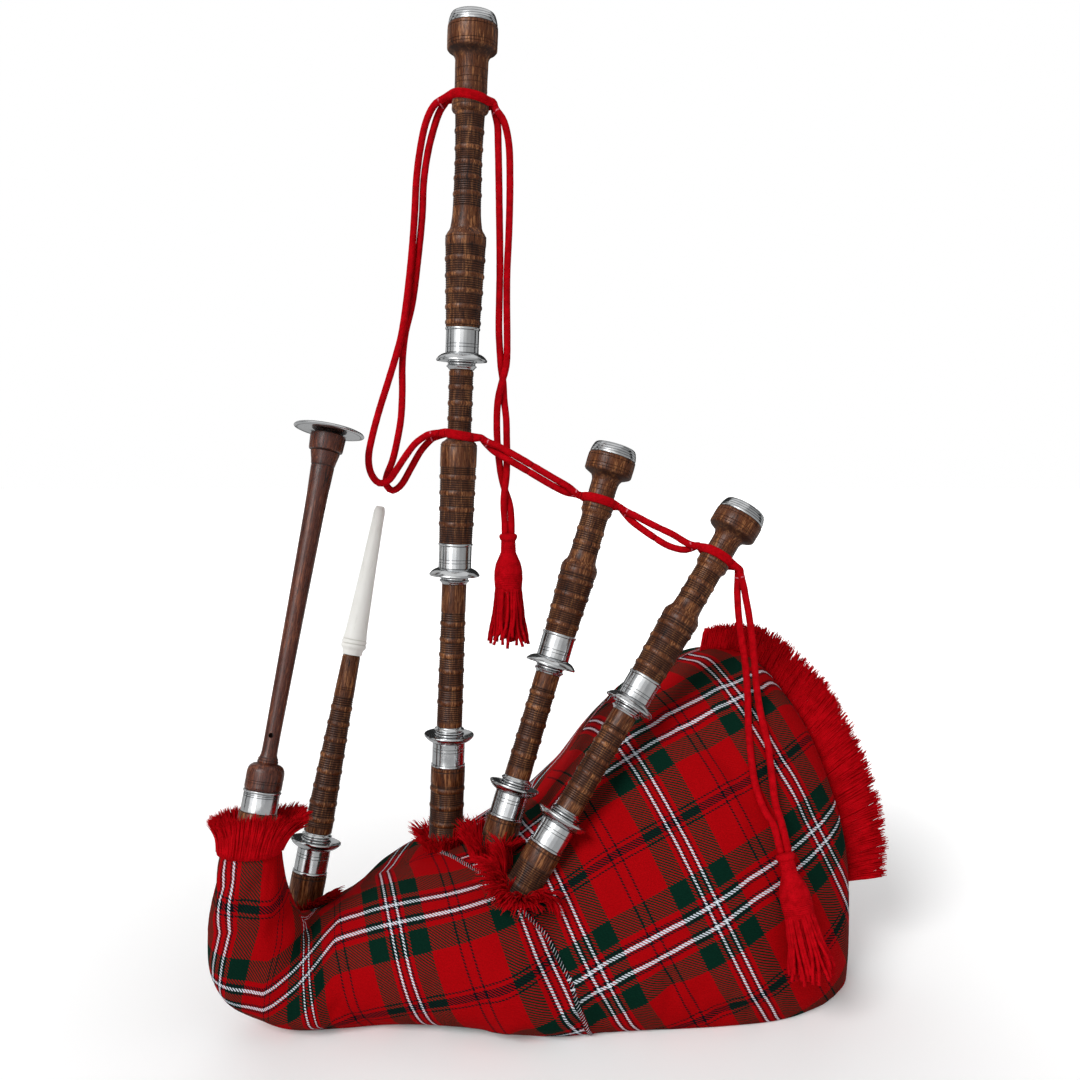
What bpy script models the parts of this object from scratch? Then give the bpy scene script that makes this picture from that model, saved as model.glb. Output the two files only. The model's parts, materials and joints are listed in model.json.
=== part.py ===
"""A highland bagpipe: three drones, a blowpipe and a chanter in a tartan-covered bag, with a drone cord.

Sizes are in millimetres, and MM turns them into metres. +Z is up, and the origin is on the floor
under the bag. Each pipe is drawn along its own axis. Station 0 is the rim of its stock, and stations
rise towards its free end.
"""

import math

import bmesh
import bpy
from mathutils import Matrix, Vector

MM = 0.001
AXIS_MARK_SIZE = 40.0
PART = "highland_bagpipe"

# Clearances
SEAT_GAP = 0.35
TENON_GAP = 0.5
PIN_GAP = 0.45
SOFT_GAP = 0.5
FERRULE_GAP = 0.7
CAP_GAP = 0.9

# Facets of a turned piece
REED_STEPS = 8
TASSEL_STEPS = 10
SLIM_STEPS = 12
WIDE_STEPS = 14
SOLE_STEPS = 20

# Where each pipe stands: the centre of its stock's rim, and a point further along its axis
BASS_BASE = (-95.5, 0.0, 256.8)
BASS_AIM = (-66.3, 35.0, 986.5)
TENOR_BASES = ((-25.9, -40.0, 215.3), (22.6, -85.0, 198.5))
TENOR_AIMS = ((78.6, 35.0, 554.1), (207.7, 10.0, 486.6))
CHANTER_BASE = (-262.3, -120.0, 240.0)
CHANTER_AIM = (-207.1, -30.0, 578.9)
BLOWPIPE_BASE = (-232.2, -30.0, 152.8)
BLOWPIPE_AIM = (-169.0, 40.0, 493.6)

# Stocks
STOCK_RADIUS = 17.9
STOCK_BORE_RADIUS = 12.0
BASS_STOCK_LENGTH = 150.0
TENOR_STOCK_LENGTH = 112.0
CHANTER_STOCK_LENGTH = 95.0
BLOWPIPE_STOCK_LENGTH = 100.0
STOCK_PLAIN_LENGTH = 18.0
STOCK_CHAMFER = 1.5
STOCK_COMB_FOOT = 6.0
STOCK_COMB_SINK = 0.8

# Flanged metal mounts: depths run from the rim towards the ferrule's end
MOUNT_LENGTH = 33.5
FERRULE_RADIUS = 16.9
FERRULE_WALL = 1.1
FERRULE_RING_RISE = 1.0
FERRULE_RING_LENGTH = 2.2
FLANGE_RADIUS = 26.0
FLANGE_DEPTH = 8.8
FLANGE_LIP = 1.5
FLANGE_FILLET = 2.4
DISH_DEPTH = 4.6
CHANTER_FERRULE_LENGTH = 20.6

# Beaded collars at the ends of the lower joints
COLLAR_RADIUS = 15.6
COLLAR_BODY_RADIUS = 14.2
COLLAR_LENGTH = 10.0
COLLAR_BEAD_MIDDLE = 4.0
COLLAR_HOLLOW = 7.0
COLLAR_NECK_LENGTH = 3.0
COLLAR_NECK_RADIUS = 12.9

# Tenons, tuning pins and their sockets
TENON_LENGTH = 42.0
PIN_RADIUS = 8.7
PIN_LENGTH = 56.0
SOCKET_SPARE = 4.0
SOCKET_MOUTH = 1.2
DRONE_BORE_RADIUS = 4.0

# Combing: beads stand proud between combed stretches
BEAD_RISE = 0.9

# Bass drone: stations of the mounts' rims, and radii
BASS_MIDDLE_RIM = 168.3
BASS_TOP_RIM = 388.6
BASS_END = 731.0
BASS_LOWER_RADII = (13.3, 12.5)
BASS_LOWER_BEAD_COUNT = 6
BASS_LOWER_COMB = (15.0, 129.5)
BASS_MIDDLE_BEAD_COUNT = 4
BASS_MIDDLE_BULGE_RADII = (17.3, 18.7)
BASS_MIDDLE_SHOULDER = 304.0
BASS_MIDDLE_PLAIN = 23.7
BASS_MIDDLE_NECK_RADIUS = 12.2
BASS_MIDDLE_UPPER_BEAD_COUNT = 3
BASS_MIDDLE_CORD = 314.5
BASS_TOP_BEAD_COUNT = 5
BASS_TOP_BULGE_RADII = (17.5, 20.7)
BASS_TOP_SHOULDER = 514.0
BASS_TOP_PLAIN = 11.0
BASS_TOP_FLARE = (541.8, 14.3)
BASS_TOP_UPPER_BEAD_COUNT = 5
BASS_TOP_WAIST_RADIUS = 13.4
BASS_TOP_COMB_END = (631.3, 14.9)
BASS_CORD = 651.5

# Tenor drones
TENOR_TOP_RIM = 127.5
TENOR_END = 365.0
TENOR_LOWER_RADII = (13.2, 12.7)
TENOR_LOWER_BEAD_COUNT = 4
TENOR_LOWER_COMB = (20.0, 99.0)
TENOR_BEAD_COUNT = 4
TENOR_BULGE_RADII = (16.8, 19.0)
TENOR_SHOULDER = 233.0
TENOR_PLAIN = 7.0
TENOR_FLARE = (248.0, 14.4)
TENOR_UPPER_BEAD_COUNT = 2
TENOR_WAIST_RADIUS = 13.9
TENOR_COMB_END = (286.0, 14.4)
TENOR_CORD = 305.0

# Bells and their caps
BELL_RADIUS = 25.0
BELL_LENGTH = 24.0
TENOR_BELL_LENGTH = 18.0
BELL_UNDERSIDE = 10.0
BELL_NECK_RADIUS = 16.6
TENOR_NECK_RADIUS = 14.0
BELL_CAVITY_RADIUS = 14.0
BELL_CAVITY_DEPTH = 26.0
CORD_COLLAR_RISE = 2.1
CORD_COLLAR_LENGTH = 12.0
CAP_RADIUS = 24.3
CAP_LENGTH = 11.5
CAP_WALL = 3.2
CAP_TOP = 2.6
CAP_STEP = 1.1
CAP_MOUTH_RADIUS = 10.0

# Chanter: a drop is measured down from its mouth
CHANTER_LENGTH = 350.0
CHANTER_HEAD_RADIUS = 17.5
CHANTER_HEAD_LENGTH = 24.5
CHANTER_HEAD_EDGE = 0.8
CHANTER_HEAD_ROUND = 6.0
CHANTER_RING_RADIUS = 9.6
CHANTER_RING_LENGTH = 7.0
CHANTER_BODY = ((52.0, 7.4), (174.0, 8.7), (261.0, 9.8))
CHANTER_THROAT_DROP = 39.0
CHANTER_THROAT_OUTER_RADIUS = 11.3
CHANTER_STEP_RADIUS = 13.75
CHANTER_STEP_DROP = 27.4
CHANTER_BULB_RADIUS = 17.9
CHANTER_BULB_DROP = 16.2
CHANTER_BULB_ROUND = 3.0
CHANTER_FOOT_DROP = 9.0
SOLE_SPIGOT_DROP = 3.0
CHANTER_REED_SEAT_RADIUS = 5.0
CHANTER_REED_SEAT_DEPTH = 12.0
CHANTER_THROAT_RADIUS = 2.6
CHANTER_MOUTH_RADIUS = 9.0
SOLE_RADIUS = 34.8
SOLE_THICKNESS = 3.2
SOLE_SPIGOT_RADIUS = 12.0
THUMB_HOLE = (51.9, 2.3)
FINGER_HOLE_RADIUS = 2.5
FINGER_HOLE_FIRST = 66.0
FINGER_HOLE_PITCH = 24.5
FINGER_HOLES = 7
SOUND_HOLE = (272.0, 3.0)
HOLE_SIDES = 6

# Blowpipe and mouthpiece
BLOWPIPE_LENGTH = 194.0
BLOWPIPE_RADII = (14.4, 9.2)
BLOWPIPE_BEAD_COUNT = 7
BLOWPIPE_COMB = (22.0, 150.0)
BLOWPIPE_COMB_END_RADIUS = 10.2
BLOWPIPE_BORE_RADIUS = 5.0
MOUTHPIECE_LENGTH = 159.0
MOUTHPIECE_SPIGOT_RADIUS = 6.6
MOUTHPIECE_SPIGOT_LENGTH = 16.0
MOUTHPIECE_BORE_RADIUS = 3.6
MOUTHPIECE_PROFILE = (
    (0.0, 10.3),
    (5.0, 10.8),
    (7.0, 12.4),
    (15.0, 13.2),
    (24.0, 11.6),
    (90.0, 8.3),
    (148.0, 6.0),
)
MOUTHPIECE_TIP_RADIUS = 6.3
MOUTHPIECE_BIT_LENGTH = 4.0
VALVE_RADIUS = 8.2
VALVE_THICKNESS = 1.0

# Reeds
DRONE_REED_RADIUS = 3.7
DRONE_REED_SEAT_RADIUS = 4.2
REED_SEAT_DEPTH = 10.0
BASS_REED_LENGTH = 78.0
TENOR_REED_LENGTH = 58.0
REED_BORE_RADIUS = 1.8
CHANTER_REED_LENGTH = 32.0
CHANTER_REED_BLADE = (11.0, 2.4)
CHANTER_STAPLE_RADIUS = 3.8

# Bag neck: each ring's centre, the lean of its plane, its half height, half depth and backward lean
COVER_WALL = 1.6
BAG_WALL = 1.6
BAG_INSET = 8.0
BAG_TIE_DEPTH = 63.8
BAG_TIE_RADIUS = 19.9
BAG_SQUARENESS = 2.5
COVER_SIDES = 16
BAG_SIDES = 8
NECK_RINGS = (
    ((-271.0, -134.0, 190.0), 0.0, 27.0, 24.0, 0.0),
    ((-272.0, -138.0, 152.0), 4.0, 33.0, 29.0, 0.0),
    ((-272.0, -132.0, 112.0), 16.0, 42.0, 34.0, 0.0),
    ((-262.0, -118.0, 74.0), 42.0, 52.0, 46.0, 0.0),
    ((-236.0, -92.0, 50.0), 72.0, 52.0, 66.0, 0.0),
)
# Bag trunk and lobe: each ring's x, middle y, top, half depth and backward lean
TRUNK_RINGS = (
    (-195.0, -58.0, 106.0, 86.0, 0.0),
    (-150.0, -36.0, 127.0, 112.0, 0.0),
    (-105.0, -23.0, 138.0, 133.0, 0.0),
    (-62.0, -16.0, 150.0, 147.0, 6.0),
    (-22.0, -11.0, 165.0, 151.0, 26.0),
    (22.0, 2.0, 200.0, 142.0, 58.0),
    (66.0, 8.0, 254.0, 128.0, 72.0),
    (120.0, 8.0, 298.0, 118.0, 76.0),
    (180.0, 8.0, 325.0, 110.0, 76.0),
    (235.0, 8.0, 318.0, 100.0, 70.0),
    (280.0, 8.0, 268.0, 82.0, 52.0),
    (308.0, 4.0, 205.0, 58.0, 28.0),
    (324.0, 0.0, 140.0, 28.0, 8.0),
)
TRUNK_SINK = 14.0
BAG_END = (330.0, 0.0, 62.0)

# Frills round the stocks: the station where the cover meets each stock
FRILL_STATIONS = {"bass": -122.0, "tenor_1": -74.0, "tenor_2": -86.0, "blowpipe": -54.0}
FRILL_POINTS = 12
FRILL_HEIGHT = 26.0
FRILL_ROOT = 14.0
FRILL_WALL = 2.6
FRILL_FLARE = 8.0
FRILL_RIPPLE = 1.8
NECK_FRILL_HEIGHT = 33.0
NECK_FRILL_FLARE = 10.0
FRINGE_LENGTHS = (26.0, 40.0, 48.0, 50.0, 48.0, 40.0)
FRINGE_THICKNESS = 4.0
FRINGE_FIRST_RING = 8
FRINGE_LEAN = 40.0

# Drone cord: where it passes a drone, one strand goes in front and one behind
CORD_RADIUS = 3.3
CORD_SPACING = 20.0
CORD_LOOP_HEIGHT = 1.3
LOOP_MAJOR_STEPS = 12
LOOP_SIDES = 6
BAND_LENGTH = 4.0
BAND_THICKNESS = 0.5
BAND_PLACE = 8.0
BAND_SIDES = 8
# Stretches of two strands: the middle of the pair, half the strands' spacing, and the pair's turn in degrees
BASS_DROP = (
    ((-43.2, 31.0, 906.0), 5.0, 90.0),
    ((-41.2, 31.0, 893.0), 3.6, 70.0),
    ((-38.5, 31.0, 875.0), 3.9, 25.0),
    ((-36.8, 31.0, 855.0), 6.3, 0.0),
    ((-37.0, 31.0, 815.0), 6.0, 0.0),
    ((-37.8, 31.0, 770.0), 4.6, 0.0),
    ((-38.4, 31.0, 705.0), 4.4, 0.0),
    ((-39.2, 31.0, 650.0), 3.7, 10.0),
    ((-40.0, 31.0, 615.0), 3.7, 90.0),
    ((-39.5, 31.0, 592.0), 4.4, 150.0),
    ((-39.1, 31.0, 570.0), 5.2, 180.0),
    ((-38.5, 31.0, 550.0), 4.2, 180.0),
    ((-36.5, 31.0, 530.0), 3.5, 180.0),
    ((-34.2, 31.0, 505.0), 3.45, 180.0),
    ((-33.5, 31.0, 480.0), 3.45, 180.0),
    ((-33.5, 31.0, 466.35), 3.45, 180.0),
)
BASS_TO_TENOR = (
    ((-62.4, 15.0, 569.4), 3.6, 90.0),
    ((-53.0, 14.5, 561.5), 3.5, 60.0),
    ((-42.0, 13.5, 554.5), 3.5, 10.0),
    ((-20.6, 12.5, 541.5), 3.5, 0.0),
    ((10.3, 15.0, 523.0), 3.5, 0.0),
    ((26.0, 18.5, 514.0), 3.5, 20.0),
    ((34.0, 21.5, 509.8), 3.5, 60.0),
    ((40.6, 24.4, 506.7), 3.6, 90.0),
)
TENOR_TO_TENOR = (
    ((83.8, 21.6, 493.8), 3.6, 90.0),
    ((91.0, 19.5, 487.5), 3.5, 60.0),
    ((101.0, 16.0, 480.5), 3.7, 10.0),
    ((117.0, 11.0, 471.0), 5.2, 0.0),
    ((134.0, 6.0, 462.0), 6.3, 0.0),
    ((147.0, 2.5, 456.5), 4.6, 10.0),
    ((155.0, 0.8, 455.5), 3.5, 50.0),
    ((162.4, 0.1, 456.6), 3.6, 90.0),
)
TENOR_DROP = (
    ((203.5, -7.6, 434.0), 3.6, 90.0),
    ((205.0, -8.0, 421.0), 3.5, 60.0),
    ((206.5, -9.0, 406.0), 4.0, 10.0),
    ((209.0, -9.5, 388.0), 5.2, 0.0),
    ((213.0, -9.5, 362.0), 5.4, 0.0),
    ((217.0, -9.0, 335.0), 4.8, 0.0),
    ((219.5, -9.0, 312.0), 4.8, 0.0),
    ((221.0, -12.5, 293.0), 5.6, 0.0),
    ((221.2, -26.5, 275.0), 7.5, 0.0),
    ((222.3, -41.2, 256.2), 9.2, 0.0),
    ((222.8, -60.8, 231.3), 9.0, 0.0),
    ((226.0, -75.0, 210.0), 6.6, 0.0),
    ((230.2, -86.5, 199.0), 4.6, 0.0),
    ((233.0, -91.7, 191.3), 3.6, 0.0),
    ((237.4, -99.3, 170.0), 3.45, 0.0),
)
# The loop at the left: its two strands part and cross at the bottom
LEFT_LOOP_OUTER = (
    (-93.4, 26.0, 906.0),
    (-105.0, 27.0, 899.0),
    (-113.0, 27.5, 883.0),
    (-120.0, 27.0, 856.0),
    (-125.3, 26.0, 826.0),
    (-129.6, 24.0, 791.0),
    (-134.0, 22.0, 751.0),
    (-137.0, 18.5, 706.0),
    (-141.5, 13.0, 672.0),
    (-147.5, 11.0, 652.0),
    (-156.5, 9.0, 625.0),
    (-166.0, 6.0, 595.0),
    (-173.0, 4.0, 569.0),
    (-175.3, 2.0, 548.0),
    (-172.5, 0.0, 532.0),
    (-164.5, -1.0, 521.5),
    (-155.0, -1.0, 522.0),
    (-145.7, 1.0, 532.0),
    (-136.3, 3.5, 544.0),
    (-127.0, 6.5, 556.0),
    (-115.7, 9.5, 565.5),
    (-109.5, 11.0, 569.0),
    (-103.5, 11.6, 571.2),
)
LEFT_LOOP_INNER = (
    (-93.8, 36.0, 905.0),
    (-102.5, 34.0, 893.0),
    (-108.0, 31.0, 875.0),
    (-113.3, 28.5, 852.0),
    (-118.6, 26.5, 823.6),
    (-122.8, 24.5, 789.6),
    (-127.0, 22.5, 750.0),
    (-130.0, 21.5, 705.5),
    (-137.0, 20.0, 671.5),
    (-140.8, 19.0, 641.5),
    (-140.4, 18.0, 613.0),
    (-143.2, 16.0, 586.0),
    (-147.6, 14.0, 562.5),
    (-152.2, 12.0, 543.5),
    (-157.0, 11.0, 529.5),
    (-158.2, 10.5, 518.5),
    (-152.0, 10.0, 510.5),
    (-142.5, 11.0, 515.5),
    (-132.6, 13.0, 531.0),
    (-122.8, 15.5, 548.0),
    (-112.5, 17.8, 560.5),
    (-108.2, 18.5, 565.0),
    (-103.9, 18.6, 568.3),
)

# Tassels: the middle of each one's top, and a point on its axis below
TASSEL_PROFILE = (
    (0.0, 6.8),
    (3.0, 9.6),
    (9.0, 8.0),
    (21.0, 8.2),
    (30.0, 14.0),
    (46.0, 15.6),
    (60.0, 14.0),
    (122.0, 23.5),
)
TASSEL_TOPS = ((-33.5, 31.0, 466.0), (237.5, -99.5, 169.5))
TASSEL_AIMS = ((-33.5, 31.0, 300.0), (261.0, -140.0, 59.0))

WOOD = ("drone_wood", (0.17, 0.065, 0.03), 0.35, 0.0)
CHANTER_WOOD = ("chanter_wood", (0.12, 0.042, 0.03), 0.3, 0.0)
METAL = ("polished_mount", (0.78, 0.79, 0.8), 0.18, 1.0)
IVORY = ("mouthpiece_plastic", (0.82, 0.82, 0.77), 0.35, 0.0)
TARTAN = ("tartan_cloth", (0.62, 0.01, 0.015), 0.9, 0.0)
HIDE = ("bag_hide", (0.55, 0.43, 0.3), 0.8, 0.0)
WOOL = ("cord_wool", (0.6, 0.005, 0.01), 0.95, 0.0)
CANE = ("reed_cane", (0.68, 0.55, 0.28), 0.55, 0.0)
RUBBER = ("valve_rubber", (0.03, 0.03, 0.03), 0.7, 0.0)


def clear_scene():
    for obj in list(bpy.data.objects):
        bpy.data.objects.remove(obj, do_unlink=True)


def collection(name):
    made = bpy.data.collections.new(name)
    bpy.context.scene.collection.children.link(made)
    return made


def add_material(obj, finish):
    """Each object gets a material of its own."""
    name, colour, roughness, metallic = finish
    material = bpy.data.materials.new(f"{obj.name}_{name}")
    material.use_nodes = True
    shader = material.node_tree.nodes["Principled BSDF"]
    shader.inputs["Base Color"].default_value = (*colour, 1.0)
    shader.inputs["Roughness"].default_value = roughness
    shader.inputs["Metallic"].default_value = metallic
    obj.data.materials.clear()
    obj.data.materials.append(material)


def add_object(name, mesh, finish=None, parent=None):
    obj = bpy.data.objects.new(name, mesh)
    (parts if finish else cutters).objects.link(obj)
    obj.parent = parent
    if finish:
        add_material(obj, finish)
    else:
        obj.hide_render = True
        obj.display_type = "WIRE"
    return obj


def pipe_axis(name, base, aim):
    """An empty at the rim of a stock, with its Z along the pipe and its X to the right."""
    empty = bpy.data.objects.new(f"{name}_axis", None)
    parts.objects.link(empty)
    empty.empty_display_size = AXIS_MARK_SIZE * MM
    empty.location = Vector(base) * MM
    along = (Vector(aim) - Vector(base)).normalized()
    right = (Vector((1.0, 0.0, 0.0)) - along.x * along).normalized()
    empty.rotation_mode = "QUATERNION"
    empty.rotation_quaternion = Matrix((right, along.cross(right), along)).transposed().to_quaternion()
    return empty


def evaluated_mesh(obj):
    """The mesh that an object's modifiers or curve make, in its own space."""
    bpy.context.view_layer.update()
    graph = bpy.context.evaluated_depsgraph_get()
    return bpy.data.meshes.new_from_object(obj.evaluated_get(graph))


def shade(mesh):
    mesh.shade_smooth()
    mesh.set_sharp_from_angle(angle=math.radians(32))


def turned(name, outline, finish, parent, steps=SLIM_STEPS):
    """Turns (radius, station) points about the pipe's axis. An outline off the axis is closed."""
    hollow = all(radius > 0 for radius, _ in outline)
    ring = list(zip(outline, outline[1:] + outline[:1], strict=True))
    area = sum(a[0] * b[1] - b[0] * a[1] for a, b in ring)
    if area > 0:
        outline = outline[::-1]
    mesh = bpy.data.meshes.new(name)
    points = [(radius * MM, 0.0, station * MM) for radius, station in outline]
    edges = [(i, i + 1) for i in range(len(points) - 1)]
    if hollow:
        edges.append((len(points) - 1, 0))
    mesh.from_pydata(points, edges, [])
    obj = add_object(name, mesh, finish, parent)
    screw = obj.modifiers.new("Turn", "SCREW")
    screw.axis = "Z"
    screw.angle = math.tau
    screw.steps = steps
    screw.render_steps = steps
    screw.use_merge_vertices = True
    screw.merge_threshold = 0.00001
    made = evaluated_mesh(obj)
    obj.modifiers.clear()
    obj.data = made
    bpy.data.meshes.remove(mesh)
    shade(made)
    add_material(obj, finish)
    return obj


def boolean(obj, other, operation="DIFFERENCE"):
    cut = obj.modifiers.new(other.name, "BOOLEAN")
    cut.operation = operation
    cut.solver = "EXACT"
    cut.object = other


def rod(name, start, end, radius, sides, parent=None, finish=None):
    """A straight round rod between two points, in millimetres."""
    start, end = Vector(start) * MM, Vector(end) * MM
    shape = bmesh.new()
    bmesh.ops.create_cone(
        shape,
        cap_ends=True,
        segments=sides,
        radius1=radius * MM,
        radius2=radius * MM,
        depth=(end - start).length,
    )
    mesh = bpy.data.meshes.new(name)
    shape.to_mesh(mesh)
    shape.free()
    obj = add_object(name, mesh, finish, parent)
    obj.location = (start + end) / 2
    obj.rotation_mode = "QUATERNION"
    obj.rotation_quaternion = (end - start).to_track_quat("Z", "Y")
    return obj


def combed(low, low_radius, high, high_radius, beads):
    """Points up a tapered stretch: beads at an even pitch, with combed hollows between them."""
    points = []
    for step in range(2 * beads + 1):
        share = step / (2 * beads)
        rise = BEAD_RISE if step % 2 else 0.0
        points.append((low_radius + (high_radius - low_radius) * share + rise, low + (high - low) * share))
    return points


def flanged_mount(name, rim, towards, parent):
    """A metal ferrule with a dished flange. towards is -1 below the rim, as on a stock, and 1 above it."""
    inner = FERRULE_RADIUS - FERRULE_WALL
    ring = FERRULE_RADIUS + FERRULE_RING_RISE
    profile = (
        (FLANGE_RADIUS, -FLANGE_LIP / 3),
        (FERRULE_RADIUS + FLANGE_FILLET, FLANGE_DEPTH - FLANGE_FILLET),
        (FERRULE_RADIUS, FLANGE_DEPTH),
        (FERRULE_RADIUS, MOUNT_LENGTH - FERRULE_RING_LENGTH),
        (ring, MOUNT_LENGTH),
        (inner, MOUNT_LENGTH),
        (inner, DISH_DEPTH),
        (FLANGE_RADIUS - FLANGE_FILLET, 0.2),
    )
    outline = [(radius, rim + towards * depth) for radius, depth in profile]
    return turned(name, outline, METAL, parent, WIDE_STEPS)


def collar(name, seat, towards, parent):
    """A beaded metal collar whose thick end stands at seat, in a dish. towards points to its thin end."""
    profile = (
        (COLLAR_BODY_RADIUS, 0.0),
        (COLLAR_RADIUS, COLLAR_BEAD_MIDDLE),
        (COLLAR_BODY_RADIUS, COLLAR_HOLLOW),
        (COLLAR_RADIUS, COLLAR_LENGTH),
        (COLLAR_NECK_RADIUS, COLLAR_LENGTH + COLLAR_NECK_LENGTH),
        (STOCK_BORE_RADIUS, COLLAR_LENGTH + COLLAR_NECK_LENGTH),
        (STOCK_BORE_RADIUS, 0.0),
    )
    outline = [(radius, seat + towards * depth) for radius, depth in profile]
    return turned(name, outline, METAL, parent)


def spigot(rim, towards):
    """Points of the wood inside a flanged mount, from its end face to where the full wood starts."""
    radius = FERRULE_RADIUS - FERRULE_WALL - FERRULE_GAP
    end = rim + towards * (DISH_DEPTH - 0.3)
    return [(radius, end), (radius, rim + towards * (MOUNT_LENGTH + SEAT_GAP))]


def drone_stock(name, length, beads, parent):
    """A stock that a flanged mount caps. Its bore takes a pipe's tenon."""
    seat = spigot(0.0, -1)
    shoulder = seat[1][1]
    plain_end = shoulder - STOCK_PLAIN_LENGTH
    outline = [(STOCK_BORE_RADIUS, seat[0][1]), *seat, (STOCK_RADIUS, shoulder)]
    if beads:
        comb_radius = STOCK_RADIUS - STOCK_COMB_SINK
        outline += combed(plain_end, comb_radius, -length + STOCK_COMB_FOOT, comb_radius, beads)
    outline += [
        (STOCK_RADIUS, -length + STOCK_CHAMFER),
        (STOCK_RADIUS - STOCK_CHAMFER, -length),
        (STOCK_BORE_RADIUS, -length),
    ]
    turned(f"{name}_stock", outline, WOOD, parent)
    flanged_mount(f"{name}_stock_mount", 0.0, -1, parent)


def lower_end(seat_radius):
    """The tenon in the stock and the seat of the lower collar, from the tenon's end up."""
    tenon = STOCK_BORE_RADIUS - TENON_GAP
    collar_foot = -DISH_DEPTH + 0.3 + SEAT_GAP
    collar_top = collar_foot + COLLAR_LENGTH + COLLAR_NECK_LENGTH + SEAT_GAP
    return collar_foot, [(tenon, -TENON_LENGTH), (tenon, collar_top), (seat_radius, collar_top)]


def upper_end(rim, seat_radius):
    """The seat of the upper collar and the tuning pin, from the collar up."""
    tenon = STOCK_BORE_RADIUS - TENON_GAP
    collar_head = rim + DISH_DEPTH - 0.3 - SEAT_GAP
    collar_foot = collar_head - COLLAR_LENGTH - COLLAR_NECK_LENGTH - SEAT_GAP
    points = [
        (seat_radius, collar_foot),
        (tenon, collar_foot),
        (tenon, collar_head),
        (PIN_RADIUS, collar_head),
        (PIN_RADIUS, collar_head + PIN_LENGTH),
        (DRONE_BORE_RADIUS, collar_head + PIN_LENGTH),
    ]
    return collar_head, points


def socket(rim):
    """The socket for a tuning pin, from its inner end down to its mouth."""
    radius = PIN_RADIUS + PIN_GAP
    mouth = rim + DISH_DEPTH - 0.3
    floor = mouth + PIN_LENGTH + SOCKET_SPARE
    return [
        (DRONE_BORE_RADIUS, floor),
        (radius, floor),
        (radius, mouth + SOCKET_MOUTH),
        (radius + SOCKET_MOUTH, mouth),
    ]


def lower_joint(name, rim, radii, comb, reed_length, parent):
    """A drone's bottom joint, with its two collars and its reed. comb is its two ends and its beads."""
    foot, low = lower_end(radii[0])
    head, high = upper_end(rim, radii[1])
    seat_end = -TENON_LENGTH + REED_SEAT_DEPTH
    outline = (
        [(DRONE_REED_SEAT_RADIUS, -TENON_LENGTH), *low]
        + combed(comb[0], radii[0], comb[1], radii[1], comb[2])
        + high
        + [(DRONE_BORE_RADIUS, seat_end), (DRONE_REED_SEAT_RADIUS, seat_end)]
    )
    turned(f"{name}_bottom_joint", outline, WOOD, parent)
    collar(f"{name}_bottom_lower_collar", foot, 1, parent)
    collar(f"{name}_bottom_upper_collar", head, -1, parent)
    top = seat_end - SEAT_GAP
    reed = [
        (REED_BORE_RADIUS, top),
        (DRONE_REED_RADIUS - 0.6, top),
        (DRONE_REED_RADIUS, top - REED_SEAT_DEPTH),
        (DRONE_REED_RADIUS, top - reed_length),
        (REED_BORE_RADIUS, top - reed_length),
    ]
    turned(f"{name}_reed", reed, CANE, parent, REED_STEPS)


def bell_top(name, end, bell_length, neck_radius, cord, parent):
    """Points of a bell and its neck from the cord's seat up, with its cavity. The cap is made here too."""
    skirt = CAP_RADIUS - CAP_WALL
    wood_top = end - CAP_TOP - SEAT_GAP
    bell_high = end - CAP_LENGTH - SEAT_GAP
    bell_low = bell_high - bell_length
    cap = [
        (CAP_MOUTH_RADIUS, end),
        (CAP_RADIUS - 2 * CAP_STEP, end),
        (CAP_RADIUS - CAP_STEP, end - CAP_LENGTH / 3),
        (CAP_RADIUS, end - CAP_LENGTH * 2 / 3),
        (CAP_RADIUS, end - CAP_LENGTH),
        (skirt, end - CAP_LENGTH),
        (skirt, end - CAP_TOP),
        (CAP_MOUTH_RADIUS, end - CAP_TOP),
    ]
    turned(f"{name}_bell_cap", cap, METAL, parent, WIDE_STEPS)
    return [
        (neck_radius, cord + CORD_RADIUS),
        (neck_radius, bell_low - BELL_UNDERSIDE),
        (neck_radius + 3.2, bell_low - BELL_UNDERSIDE / 3),
        (BELL_RADIUS, bell_low + 1.5),
        (BELL_RADIUS, bell_high),
        (skirt - CAP_GAP, bell_high),
        (skirt - CAP_GAP, wood_top),
        (BELL_CAVITY_RADIUS, wood_top),
        (BELL_CAVITY_RADIUS, wood_top - BELL_CAVITY_DEPTH),
        (DRONE_BORE_RADIUS, wood_top - BELL_CAVITY_DEPTH - 6.0),
    ]


def bulge(rim, radii, beads, shoulder, plain):
    """Points of an upper joint from its mount up to its shoulder."""
    seat = spigot(rim, 1)
    return (
        [*seat, (radii[0], seat[1][1])]
        + combed(seat[1][1] + 1.0, radii[0], shoulder - plain, radii[1], beads)
        + [(radii[1], shoulder - plain), (radii[1], shoulder)]
    )


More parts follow.
